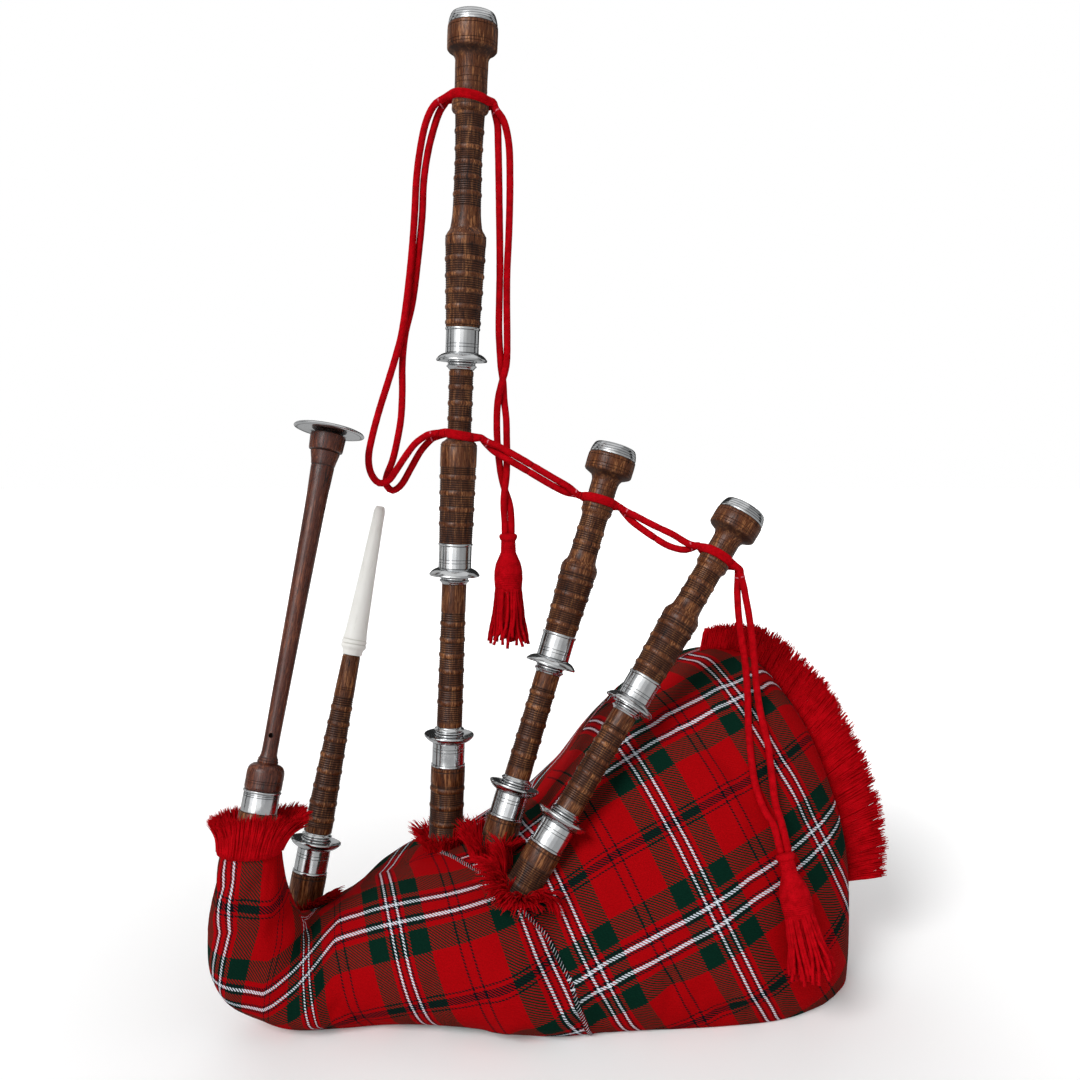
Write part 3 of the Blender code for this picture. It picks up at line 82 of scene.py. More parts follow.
# x, middle y, top, half depth, backward lean
TRUNK_RINGS = (
    (-195.0, -58.0, 106.0, 86.0, 0.0),
    (-150.0, -36.0, 127.0, 112.0, 0.0),
    (-105.0, -23.0, 138.0, 133.0, 0.0),
    (-62.0, -16.0, 150.0, 147.0, 6.0),
    (-22.0, -11.0, 165.0, 151.0, 26.0),
    (22.0, 2.0, 200.0, 142.0, 58.0),
    (66.0, 8.0, 254.0, 128.0, 72.0),
    (120.0, 8.0, 298.0, 118.0, 76.0),
    (180.0, 8.0, 325.0, 110.0, 76.0),
    (235.0, 8.0, 318.0, 100.0, 70.0),
    (280.0, 8.0, 268.0, 82.0, 52.0),
    (308.0, 4.0, 205.0, 58.0, 28.0),
    (324.0, 0.0, 140.0, 28.0, 8.0),
)
BAG_END = (330.0, 0.0, 62.0)
TRUNK_SINK = 14.0
BAG_SQUARENESS = 2.5
COVER_WALL = 1.6

# Cord: rows of a pair are its middle, half its spacing and its turn in degrees
CORD_RADIUS = 3.6
BASS_DROP = (
    ((-46.6, 31.0, 899.5), 5.0, 90.0),
    ((-44.6, 31.0, 892.5), 3.8, 75.0),
    ((-39.2, 31.0, 880.0), 4.0, 25.0),
    ((-36.6, 31.0, 858.0), 5.5, 0.0),
    ((-36.0, 31.0, 826.0), 5.6, 0.0),
    ((-36.1, 31.0, 796.0), 5.2, 0.0),
    ((-36.5, 31.0, 767.0), 4.5, 0.0),
    ((-37.3, 31.0, 737.0), 3.7, 0.0),
    ((-37.9, 31.0, 707.0), 3.8, 0.0),
    ((-38.1, 31.0, 676.5), 4.2, 0.0),
    ((-37.6, 31.0, 646.0), 3.7, 25.0),
    ((-38.6, 31.0, 625.6), 3.7, 90.0),
    ((-40.4, 31.0, 605.0), 3.8, 145.0),
    ((-40.0, 31.0, 584.4), 4.9, 180.0),
    ((-39.8, 31.0, 569.0), 5.0, 180.0),
    ((-39.2, 31.0, 552.0), 4.6, 180.0),
    ((-38.2, 31.0, 532.0), 3.7, 205.0),
    ((-37.0, 31.0, 511.4), 3.7, 270.0),
    ((-35.0, 31.0, 495.6), 3.7, 330.0),
    ((-33.7, 31.0, 479.7), 3.55, 360.0),
    ((-33.5, 31.0, 463.8), 3.5, 360.0),
)
BASS_TO_TENOR = (
    ((-60.6, 15.0, 566.4), 3.8, 90.0),
    ((-52.6, 14.5, 560.0), 3.7, 60.0),
    ((-42.0, 13.5, 553.5), 3.7, 15.0),
    ((-20.6, 12.5, 541.5), 3.7, 0.0),
    ((10.3, 15.0, 523.0), 3.7, 0.0),
    ((26.0, 18.5, 514.0), 3.7, 20.0),
    ((34.0, 21.5, 509.8), 3.7, 60.0),
    ((40.6, 24.4, 506.7), 3.8, 90.0),
)
TENOR_TO_TENOR = (
    ((83.8, 21.6, 493.8), 3.8, 90.0),
    ((91.0, 19.5, 487.5), 3.7, 60.0),
    ((101.0, 16.0, 480.5), 3.9, 10.0),
    ((117.0, 11.0, 471.0), 5.2, 0.0),
    ((134.0, 6.0, 462.0), 6.3, 0.0),
    ((147.0, 2.5, 456.5), 4.6, 10.0),
    ((155.0, 0.8, 455.5), 3.7, 50.0),
    ((162.4, 0.1, 456.6), 3.8, 90.0),
)
TENOR_DROP = (
    ((203.5, -7.6, 434.0), 3.8, 90.0),
    ((205.0, -8.0, 421.0), 3.7, 60.0),
    ((206.5, -9.0, 406.0), 4.0, 10.0),
    ((209.0, -9.5, 388.0), 5.2, 0.0),
    ((213.0, -9.5, 362.0), 5.4, 0.0),
    ((217.0, -9.0, 335.0), 4.8, 0.0),
    ((219.5, -9.0, 312.0), 4.8, 0.0),
    ((221.0, -12.5, 293.0), 5.6, 0.0),
    ((221.2, -26.5, 275.0), 7.5, 0.0),
    ((222.3, -41.2, 256.2), 9.2, 0.0),
    ((222.8, -60.8, 231.3), 9.0, 0.0),
    ((226.0, -75.0, 210.0), 6.6, 0.0),
    ((230.2, -86.5, 199.0), 4.6, 0.0),
    ((233.0, -91.7, 191.3), 3.8, 0.0),
    ((238.0, -100.2, 168.0), 3.55, 0.0),
)
LEFT_LOOP_OUTER = (
    (-93.4, 26.0, 905.0),
    (-105.6, 27.0, 897.5),
    (-114.3, 27.5, 881.0),
    (-120.2, 27.0, 856.0),
    (-124.4, 26.0, 826.0),
    (-126.6, 24.0, 791.0),
    (-130.0, 22.0, 751.0),
    (-135.2, 18.5, 706.0),
    (-140.2, 13.0, 672.0),
    (-145.4, 11.0, 652.0),
    (-153.8, 9.0, 625.0),
    (-163.4, 6.0, 595.0),
    (-170.6, 4.0, 569.0),
    (-174.6, 2.0, 548.0),
    (-172.5, 0.0, 532.0),
    (-164.5, -1.0, 521.5),
    (-154.6, -1.0, 523.5),
    (-146.0, 1.0, 535.0),
    (-137.0, 3.5, 548.5),
    (-127.4, 6.5, 561.0),
    (-116.4, 9.5, 569.0),
    (-109.8, 11.0, 571.0),
    (-103.5, 11.6, 571.6),
)
LEFT_LOOP_INNER = (
    (-93.8, 36.0, 904.0),
    (-101.2, 34.0, 892.5),
    (-107.2, 31.5, 875.0),
    (-113.0, 29.5, 852.0),
    (-117.4, 28.5, 823.6),
    (-119.4, 28.0, 789.6),
    (-123.8, 27.0, 750.0),
    (-130.0, 26.0, 705.5),
    (-137.6, 20.5, 671.5),
    (-140.8, 19.0, 641.5),
    (-141.2, 18.0, 613.0),
    (-142.8, 16.0, 586.0),
    (-147.0, 14.0, 562.5),
    (-151.6, 12.0, 543.5),
    (-157.2, 11.0, 529.5),
    (-158.6, 10.5, 519.5),
    (-152.0, 10.0, 512.5),
    (-142.5, 11.0, 519.0),
    (-132.6, 13.0, 536.0),
    (-122.8, 15.5, 553.0),
    (-113.0, 17.8, 564.0),
    (-108.2, 18.5, 567.0),
    (-103.9, 18.6, 568.6),
)
TASSEL_TOPS = ((-33.5, 31.0, 466.0), (237.5, -99.5, 169.5))
TASSEL_AIMS = ((-33.5, 31.0, 300.0), (261.0, -140.0, 59.0))


# ---- meshes


def new_object(name, points, faces):
    mesh = bpy.data.meshes.new(name)
    mesh.from_pydata([tuple(point) for point in points], [], faces)
    mesh.update()
    obj = bpy.data.objects.new(name, mesh)
    bpy.context.scene.collection.objects.link(obj)
    return obj


def point_values(obj, name, values):
    """Stores one number for each point, for its material to read."""
    attribute = obj.data.attributes.new(name, "FLOAT", "POINT")
    attribute.data.foreach_set("value", np.asarray(values, np.float32))


def dress(obj, material, slot, body, *nodes):
    obj.data.materials.clear()
    obj.data.materials.append(material)
    obj.visible_glossy = slot != "cord_wool"
    if body:
        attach(obj, body)
    if nodes:
        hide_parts(*nodes)
    return obj


def pipe_frame(name):
    joint = next(j for j in frame["joints"] if j["name"] == AXIS_JOINTS[name])
    along = Vector(joint["axis"]).normalized()
    return axis_frame(Vector(joint["pos_m"]) + along * JOINT_DEPTH * MM, along)


def axis_frame(base, along):
    right = (Vector((1.0, 0.0, 0.0)) - along.x * along).normalized()
    matrix = Matrix((right, along.cross(right), along)).transposed().to_4x4()
    matrix.translation = base
    return matrix


def turned(name, outline, matrix, look, node, steps=STEPS, body=None):
    """Turns a closed outline of (radius, station, shade) points about a frame's Z. The third number is painted shade
    for grooves and hollows, for the materials to darken, and can be left out.
    """
    outline = [(*point, 0.0)[:3] for point in outline]
    ring = list(zip(outline, outline[1:] + outline[:1], strict=True))
    if sum(a[0] * b[1] - b[0] * a[1] for a, b in ring) < 0:
        outline = outline[::-1]
    points, faces, grooves, rings = [], [], [], []
    for radius, station, hollow_shade in outline:
        count = 1 if radius < 1e-6 else steps
        rings.append(range(len(points), len(points) + count))
        for k in range(count):
            angle = math.tau * k / steps
            points.append((radius * MM * math.cos(angle), radius * MM * math.sin(angle), station * MM))
            grooves.append(hollow_shade)
    for i, low in enumerate(rings):
        high = rings[(i + 1) % len(rings)]
        if len(low) == 1 and len(high) == 1:
            continue
        for k in range(steps):
            m = (k + 1) % steps
            face = [low[k % len(low)], low[m % len(low)], high[m % len(high)], high[k % len(high)]]
            faces.append(tuple(dict.fromkeys(face)))
    obj = new_object(name, points, faces)
    # Painted shade for grooves and hollows, one number a point
    point_values(obj, "hollow_shade", grooves)
    obj.matrix_world = matrix
    obj.data.shade_smooth()
    obj.data.set_sharp_from_angle(angle=math.radians(38))
    material, slot = look
    dress(obj, material, slot, body or BODY_OF[node], node)
    return obj


def sweep(paths, radii, sides, ply=0.0):
    """Tubes along paths of equal count, as points and faces. ply is the steps in which two twisted ends turn once."""
    paths = np.asarray(paths, float)
    count, steps = paths.shape[:2]
    runs = np.gradient(paths, axis=1)
    runs /= np.linalg.norm(runs, axis=2, keepdims=True) + 1e-12
    first = np.cross(runs[:, 0], (0.31, 0.87, 0.21))
    across = np.empty_like(runs)
    across[:, 0] = first / np.linalg.norm(first, axis=1, keepdims=True)
    for k in range(1, steps):
        step = across[:, k - 1] - (across[:, k - 1] * runs[:, k]).sum(1, keepdims=True) * runs[:, k]
        across[:, k] = step / np.linalg.norm(step, axis=1, keepdims=True)
    other = np.cross(runs, across)
    radii = np.broadcast_to(np.asarray(radii, float), (count, steps))[:, :, None, None]
    angles = np.arange(sides) * math.tau / sides
    if ply:
        twist = np.arange(steps)[:, None] * math.tau / ply
        radii = radii * (0.86 + 0.2 * np.abs(np.cos(angles[None, :] - twist)))[None, :, :, None]
    ring = np.cos(angles)[None, None, :, None] * across[:, :, None] + np.sin(angles)[None, None, :, None] * other[:, :, None]
    points = (paths[:, :, None] + radii * ring).reshape(-1, 3)
    base = (np.arange(count * steps) * sides).reshape(count, steps)
    k = np.arange(sides)
    low, high = base[:, :-1, None], base[:, 1:, None]
    m = (k + 1) % sides
    quads = np.stack((low + k, low + m, high + m, high + k), -1).reshape(-1, 4)
    faces = quads.tolist()
    faces += (base[:, :1] + k[::-1]).tolist() + (base[:, -1:] + k).tolist()
    return points, faces


def smooth_rows(rows, spacing):
    """Rows at an even pace on a smooth curve through the given ones, whose first three numbers are a place."""
    rows = np.array(rows, float)
    ends = np.vstack((2 * rows[0] - rows[1], rows, 2 * rows[-1] - rows[-2]))
    t = np.linspace(0, 1, 12, endpoint=False)[:, None]
    dense = []
    for before, low, high, after in zip(ends, ends[1:], ends[2:], ends[3:], strict=False):
        dense.append(
            (
                2 * low
                + (high - before) * t
                + (2 * before - 5 * low + 4 * high - after) * t**2
                + (3 * low - before - 3 * high + after) * t**3
            )
            / 2
        )
    dense = np.vstack((*dense, rows[-1:]))
    reach = np.concatenate(([0], np.cumsum(np.linalg.norm(np.diff(dense[:, :3], axis=0), axis=1))))
    count = max(2, round(reach[-1] / spacing))
    places = np.linspace(0, reach[-1], count + 1)
    return np.stack([np.interp(places, reach, dense[:, k]) for k in range(rows.shape[1])], 1)


# ---- materials


class Look:
    """A node material with its Principled shader, and short calls for the nodes that feed it."""

    def __init__(self, name, roughness=0.5, metallic=0.0):
        self.material = bpy.data.materials.new(name)
        self.material.use_nodes = True
        self.tree = self.material.node_tree
        self.shader = self.tree.nodes["Principled BSDF"]
        self.shader.inputs["Roughness"].default_value = roughness
        self.shader.inputs["Metallic"].default_value = metallic

    def node(self, kind, inputs=None, **settings):
        made = self.tree.nodes.new(kind)
        for key, value in settings.items():
            setattr(made, key, value)
        for key, source in (inputs or {}).items():
            self.feed(made.inputs[key], source)
        return made

    def feed(self, socket, source):
        if isinstance(source, bpy.types.NodeSocket):
            self.tree.links.new(source, socket)
        else:
            socket.default_value = source

    def math(self, operation, a, b=0.0, clamp=False):
        return self.node("ShaderNodeMath", {0: a, 1: b}, operation=operation, use_clamp=clamp).outputs[0]

    def attribute(self, name, output="Fac"):
        return self.node("ShaderNodeAttribute", attribute_name=name).outputs[output]

    def place(self, scale):
        """Object coordinates, stretched along each axis."""
        coords = self.node("ShaderNodeTexCoord").outputs["Object"]
        return self.node("ShaderNodeMapping", {"Vector": coords, "Scale": scale}).outputs["Vector"]

    def noise(self, vector, scale, detail=4.0, roughness=0.55, distortion=0.0):
        inputs = {
            "Vector": vector,
            "Scale": scale,
            "Detail": detail,
            "Roughness": roughness,
            "Distortion": distortion,
        }
        return self.node("ShaderNodeTexNoise", inputs).outputs["Fac"]

    def ramp(self, fac, stops, mode="LINEAR"):
        made = self.node("ShaderNodeValToRGB", {"Fac": fac})
        made.color_ramp.interpolation = mode
        elements = made.color_ramp.elements
        while len(elements) < len(stops):
            elements.new(0.5)
        for element, (position, colour) in zip(elements, stops, strict=True):
            element.position = position
            element.color = (*colour, 1.0) if len(colour) == 3 else colour
        return made.outputs["Color"]

    def grey(self, fac, low, high, low_value=0.0, high_value=1.0):
        inputs = {"Value": fac, 1: low, 2: high, 3: low_value, 4: high_value}
        return self.node("ShaderNodeMapRange", inputs).outputs["Result"]

    def mix(self, fac, a, b, blend="MIX"):
        made = self.node("ShaderNodeMix", data_type="RGBA", blend_type=blend)
        for key, source in ((0, fac), (6, a), (7, b)):
            if isinstance(source, tuple):
                source = (*source, 1.0)
            self.feed(made.inputs[key], source)
        return made.outputs[2]

    def bump(self, height, strength, distance):
        made = self.node("ShaderNodeBump", {"Height": height, "Strength": strength, "Distance": distance})
        self.feed(self.shader.inputs["Normal"], made.outputs["Normal"])

    def colour(self, source):
        self.feed(self.shader.inputs["Base Color"], source)

    def roughness(self, source):
        self.feed(self.shader.inputs["Roughness"], source)


def wood(name, dark, middle, light, seed, gloss, lacquer):
    """Streaked hardwood with fine pores. Combed grooves and other hollows are darkened by painted shade from the
    mesh's values.
    """
    look = Look(name, 0.26)
    look.shader.inputs["Specular IOR Level"].default_value = gloss
    look.shader.inputs["Coat Weight"].default_value = lacquer
    look.shader.inputs["Coat Roughness"].default_value = 0.14
    coords = look.node("ShaderNodeTexCoord").outputs["Object"]
    shifted = look.node("ShaderNodeVectorMath", {0: coords, 1: (seed, seed * 0.7, seed * 1.3)}, operation="ADD")

    def stretched(amount):
        return look.node("ShaderNodeMapping", {"Vector": shifted.outputs[0], "Scale": (1.0, 1.0, amount)}).outputs[0]

    streaks = look.noise(stretched(0.09), 620.0, 6.0, 0.66, 0.6)
    bands = look.noise(stretched(0.25), 85.0, 3.0, 0.5, 0.9)
    mixed = look.math("ADD", look.math("MULTIPLY", streaks, 0.66), look.math("MULTIPLY", bands, 0.34))
    tint = look.ramp(mixed, ((0.38, dark), (0.46, middle), (0.52, middle), (0.61, light)))
    pores = look.grey(look.noise(stretched(0.06), 2100.0, 2.0), 0.54, 0.64)
    tint = look.mix(look.math("MULTIPLY", pores, 0.7), tint, tuple(c * 0.3 for c in dark))
    # Painted shade in grooves and hollows, towards a deep brown; they are also made rougher
    hollow_shade = look.math("MULTIPLY", look.attribute("hollow_shade"), 0.93)
    look.colour(look.mix(hollow_shade, tint, tuple(c * 0.25 for c in dark)))
    look.roughness(look.math("ADD", look.grey(streaks, 0.3, 0.7, 0.2, 0.36), look.math("MULTIPLY", hollow_shade, 0.4)))
    look.bump(look.math("SUBTRACT", streaks, look.math("MULTIPLY", pores, 0.6)), 0.3, 0.0002)
    return look.material


def metal(name):
    """Nickel plate with faint wear, and painted shade in its engraved lines and creases from the mesh's values."""
    look = Look(name, 0.16, 1.0)
    cloud = look.noise(look.place((1.0, 1.0, 1.0)), 90.0, 5.0, 0.6)
    tint = look.ramp(cloud, ((0.35, (0.66, 0.675, 0.69)), (0.65, (0.78, 0.79, 0.795))))
    # Painted shade: engraved lines and creases darkened nearly to black
    hollow_shade = look.math("MULTIPLY", look.attribute("hollow_shade"), 0.85)
    look.colour(look.mix(hollow_shade, tint, (0.03, 0.03, 0.035)))
    fine = look.noise(look.place((1.0, 1.0, 0.1)), 1400.0, 3.0)
    look.roughness(look.math("ADD", look.grey(cloud, 0.35, 0.7, 0.1, 0.17), look.math("MULTIPLY", fine, 0.06)))
    look.bump(fine, 0.012, 0.0001)
    return look.material


def ivory(name):
    look = Look(name, 0.3)
    cloud = look.noise(look.place((1.0, 1.0, 0.25)), 120.0, 4.0)
    tint = look.ramp(cloud, ((0.35, (0.93, 0.92, 0.87)), (0.65, (0.98, 0.97, 0.93))))
    # Painted shade in the rings between the mouthpiece's beads, from the mesh's values
    hollow_shade = look.math("MULTIPLY", look.attribute("hollow_shade"), 0.6)
    look.colour(look.mix(hollow_shade, tint, (0.36, 0.33, 0.26)))
    look.roughness(look.grey(cloud, 0.3, 0.7, 0.24, 0.38))
    look.bump(cloud, 0.05, 0.0003)
    return look.material


def wool(name, dark, light, fine=1500.0):
    """Felted yarn: fine fibres in varied tones, and painted shade where the bump sinks."""
    look = Look(name, 0.92)
    look.shader.inputs["Specular IOR Level"].default_value = 0.02
    fibres = look.noise(look.place((1.0, 1.0, 1.0)), fine, 3.0, 0.6)
    cloud = look.noise(look.place((1.0, 1.0, 1.0)), fine / 9, 3.0)
    mixed = look.math("ADD", look.math("MULTIPLY", fibres, 0.5), look.math("MULTIPLY", cloud, 0.5))
    look.colour(look.ramp(mixed, ((0.36, dark), (0.6, light))))
    look.bump(fibres, 0.35, 0.0004)
    return look.material


def plain_grain(name, dark, light, roughness, scale, stretch):
    look = Look(name, roughness)
    grain = look.noise(look.place(stretch), scale, 5.0, 0.6)
    look.colour(look.ramp(grain, ((0.35, dark), (0.65, light))))
    look.bump(grain, 0.2, 0.0002)
    return look.material


# Tartan: half a repeat from the middle of a pair of white lines, in millimetres of cloth
RED = (0.4, 0.0012, 0.0033)
BLACK = (0.005, 0.006, 0.009)
WHITE = (0.74, 0.8, 0.88)
GREEN = (0.002, 0.022, 0.013)
COLUMN_SETT = (
    (1.6, RED),
    (2.2, BLACK),
    (2.2, WHITE),
    (2.6, BLACK),
    (3.4, RED),
    (19.0, GREEN),
    (26.0, RED),
    (2.0, BLACK),
    (4.0, RED),
)
ROW_SETT = (
    (4.6, RED),
    (3.2, BLACK),
    (3.6, WHITE),
    (4.0, BLACK),
    (5.0, RED),
    (22.0, GREEN),
    (40.6, RED),
    (1.6, BLACK),
    (3.4, RED),
    (4.0, BLACK),
)
TWILL = 3.2


def tartan(name):
    """Two sets of coloured threads, with a diagonal twill that shows one over the other."""
    look = Look(name, 0.9)
    look.shader.inputs["Specular IOR Level"].default_value = 0.02
    parts = look.node("ShaderNodeSeparateXYZ", {0: look.attribute("cloth", "Vector")})
    wobble = look.math("MULTIPLY", look.math("SUBTRACT", look.noise(look.place((1, 1, 1)), 160.0, 2.0), 0.5), 0.8)
    places, colours, reds = [], [], []
    for axis, sett in enumerate((COLUMN_SETT, ROW_SETT)):
        half = sum(width for width, _ in sett)
        place = look.math("MULTIPLY", parts.outputs[axis], 1000.0)
        share = look.math("DIVIDE", look.math("PINGPONG", look.math("ADD", place, wobble), half), half)
        stops = []
        reach = 0.0
        for width, colour in sett:
            stops.append((reach / half, colour))
            reach += width
        colour = look.ramp(share, stops, "CONSTANT")
        parted = look.node("ShaderNodeSeparateColor", {0: colour})
        places.append(place)
        colours.append(colour)
        reds.append(look.math("SUBTRACT", parted.outputs[0], parted.outputs[1]))
    diagonal = look.math("FRACT", look.math("DIVIDE", look.math("ADD", *places), TWILL))
    # Red shows a little less than its share where it crosses darker or paler threads
    lean = look.math("MULTIPLY", look.math("SUBTRACT", *reds), 0.3)
    over = look.grey(look.math("ADD", diagonal, lean), 0.47, 0.53)
    cloth = look.mix(over, *colours)
    fine = look.noise(look.place((1.0, 1.0, 1.0)), 1100.0, 3.0, 0.6)
    cloth = look.mix(1.0, cloth, look.ramp(fine, ((0.3, (0.7, 0.7, 0.7)), (0.66, (1.0, 1.0, 1.0)))), "MULTIPLY")
    look.colour(cloth)
    rib = look.math("SINE", look.math("MULTIPLY", diagonal, math.tau))
    look.bump(look.math("ADD", look.math("MULTIPLY", rib, 0.5), fine), 0.3, 0.0004)
    return look.material


DRONE_TINTS = ((0.015, 0.0034, 0.0016), (0.1, 0.028, 0.008), (0.37, 0.15, 0.053))
CHANTER_TINTS = ((0.014, 0.002, 0.001), (0.075, 0.014, 0.005), (0.2, 0.055, 0.02))
DRONE_WOOD = (wood("drone_wood_grain", *DRONE_TINTS, 0.0, 0.25, 0.0), "drone_wood")
CHANTER_WOOD = (wood("chanter_wood_grain", *CHANTER_TINTS, 3.7, 0.4, 0.25), "chanter_wood")
MOUNT_METAL = (metal("polished_nickel"), "polished_mount")
IVORY = (ivory("polished_ivory"), "mouthpiece_plastic")
CORD_WOOL = wool("cord_felt", (0.28, 0.001, 0.003), (0.51, 0.002, 0.007))
FRINGE_WOOL = wool("fringe_yarn", (0.31, 0.001, 0.003), (0.54, 0.002, 0.007), 700.0)
WHIP_THREAD = wool("whip_thread", (0.5, 0.04, 0.07), (0.76, 0.22, 0.28))
TARTAN = tartan("tartan_twill")
HIDE = plain_grain("bag_hide_grain", (0.36, 0.26, 0.17), (0.56, 0.44, 0.31), 0.8, 260.0, (1, 1, 1))
CANE = plain_grain("reed_cane_grain", (0.5, 0.38, 0.17), (0.74, 0.62, 0.34), 0.55, 900.0, (1, 1, 0.08))
RUBBER = plain_grain("valve_rubber_grain", (0.02, 0.02, 0.02), (0.045, 0.045, 0.045), 0.7, 400.0, (1, 1, 1))
HEM_THREAD = wool("hem_thread", (0.36, 0.37, 0.4), (0.62, 0.64, 0.68))


# ---- turned pieces


def combed(low, high, beads, pitch=2.2, depth=0.6, bead=4.8, rise=0.75):
    """Outline points up a tapered stretch from (station, radius) to (station, radius): fine grooves with beads. Their
    third numbers are painted shade: most at the bottoms of the grooves, some on the lands and band edges, none on the
    beads.
    """
    (start, start_radius), (end, end_radius) = low, high

    def radius(station):
        return start_radius + (end_radius - start_radius) * (station - start) / (end - start)

    points = []
    edges = [start]
    for middle in sorted(beads):
        edges += [middle - bead / 2, middle + bead / 2]
    edges.append(end)
    for k in range(0, len(edges), 2):
        low_edge, high_edge = edges[k], edges[k + 1]
        count = max(1, round((high_edge - low_edge) / pitch))
        step = (high_edge - low_edge) / count
        points.append((radius(low_edge), low_edge, 0.6))
        for g in range(count):
            at = low_edge + step * g
            points += [
                (radius(at), at + step * 0.16, 0.25),
                (radius(at) - depth, at + step * 0.5, 1.0),
                (radius(at), at + step * 0.84, 0.25),
            ]
        points.append((radius(high_edge), high_edge, 0.6))
        if k + 2 < len(edges):
            for share, lift in ((0.12, 0.45), (0.3, 0.88), (0.5, 1.0), (0.7, 0.88), (0.88, 0.45)):
                at = high_edge + bead * share
                points.append((radius(at) + rise * lift, at, 0.0))
    return points


def ringed(radius, station, towards, count=2, pitch=1.5, depth=0.35):
    """Engraved lines round a plain stretch, with painted shade at their bottoms."""
    points = []
    for k in range(count):
        at = station + towards * k * pitch
        points += [
            (radius, at - towards * 0.35, 0.0),
            (radius - depth, at, 1.0),
            (radius, at + towards * 0.35, 0.0),
        ]
    return points


def mount(name, rim, towards, matrix):
    """A ferrule with a saucer flange: engraved lines nearer the flange and a bead at the wood's end."""
    # Third numbers are painted shade: in the crease under the rim bead, where the dome meets the ferrule, in the
    # engraved lines and where the ferrule meets its end bead
    profile = [
        (23.8, 0.35),
        (25.1, -0.55),
        (25.75, -0.5),
        (26.05, 0.2),
        (25.95, 1.1),
        (25.3, 1.9, 0.35),
        (25.0, 2.3),
        (24.0, 3.6),
        (22.6, 4.9),
        (20.9, 6.0),
        (19.2, 6.8),
        (17.9, 7.2),
        (17.2, 7.4, 0.9),
        (16.9, 7.7, 1.0),
        (17.0, 8.4),
        (16.9, 9.2),
        *ringed(16.9, 13.4, 1, 1),
        *ringed(16.9, 16.6, 1, 1),
        (16.9, 30.0),
        (16.95, 30.6, 1.0),
        (17.5, 31.1),
        (17.85, 31.9),
        (17.8, 32.7),
        (17.4, 33.3),
        (16.8, 33.5),
        (15.8, 33.5),
        (15.8, 4.9),
        (16.6, 4.4),
        (19.0, 3.2),
        (21.6, 1.7),
    ]
    outline = [(p[0], rim + towards * p[1], *p[2:]) for p in profile]
    turned(name + "_polished", outline, matrix, MOUNT_METAL, name, 96)


def collar(name, seat, towards, matrix):
    """Two rounded rings and a bright end ring, from its seat in the dish to its thin end."""
    # Third numbers are painted shade in the hollows between the rings
    profile = [
        (13.9, 0.0),
        (14.6, 0.7),
        (15.0, 1.6),
        (14.4, 2.6, 0.8),
        (14.1, 3.0, 1.0),
        (15.1, 3.5),
        (15.6, 4.4),
        (15.4, 5.2),
        (14.5, 5.8, 0.8),
        (14.0, 6.2, 1.0),
        (14.2, 6.9),
        (14.2, 7.6),
        (13.9, 8.2, 1.0),
        (15.0, 8.8),
        (15.5, 9.6),
        (15.2, 10.4),
        (13.9, 11.2),
        (13.3, 12.0),
        (13.1, 12.7),
        (12.7, 13.0),
        (12.0, 13.0),
        (12.0, 0.0),
    ]
    outline = [(p[0], seat + towards * p[1], *p[2:]) for p in profile]
    turned(name + "_polished", outline, matrix, MOUNT_METAL, name)


def stock(name, length, beads, matrix):
    outline = [(12.0, -4.3), (15.1, -4.3), (15.1, -33.85), (17.4, -33.85), (17.9, -34.4), (17.9, -36.5)]
    # Third numbers are painted shade, in a narrow ring here and where the combing starts below
    outline += [(17.5, -37.0, 0.7), (17.5, -37.6, 0.7), (17.9, -38.1)]
    if beads:
        comb = combed((-length + 6.0, 17.6), (-53.0, 17.6), beads)
        outline += [(17.9, -51.0), (17.6, -52.0, 0.6), *reversed(comb)]
    outline += [(17.6, -length + 1.5), (16.4, -length), (12.0, -length)]
    turned(name + "_stock_turned", outline, matrix, DRONE_WOOD, name + "_stock")
    mount(name + "_stock_mount", 0.0, -1, matrix)


def tenon(seat_radius):
    return [(11.5, -42.0), (11.5, 9.4), (seat_radius, 9.4)]


def pin(rim, seat_radius):
    head = rim + 3.95
    foot = head - 13.35
    return [
        (seat_radius, foot),
        (11.5, foot),
        (11.5, head),
        (8.7, head),
        (8.7, head + 55.0),
        (8.1, head + 56.0),
        (4.0, head + 56.0),
    ]


def lower_joint(name, rim, plain, comb_low, comb_high, beads, matrix):
    outline = [*tenon(comb_low[1])]
    outline += [(comb_low[1], comb_low[0] - 2.0), *combed(comb_low, comb_high, beads)]
    outline += [(plain, comb_high[0] + 0.8), (plain, rim - 12.0), *pin(rim, plain), (4.0, -42.0)]
    node = name + "_bottom_joint"
    turned(node + "_turned", outline, matrix, DRONE_WOOD, node)
    collar(name + "_bottom_lower_collar", -3.95, 1, matrix)
    collar(name + "_bottom_upper_collar", rim + 3.95, -1, matrix)


def socket(rim):
    mouth = rim + 4.3
    floor = mouth + 60.0
    return [(4.0, floor), (9.15, floor), (9.15, mouth + 1.2), (10.35, mouth)]


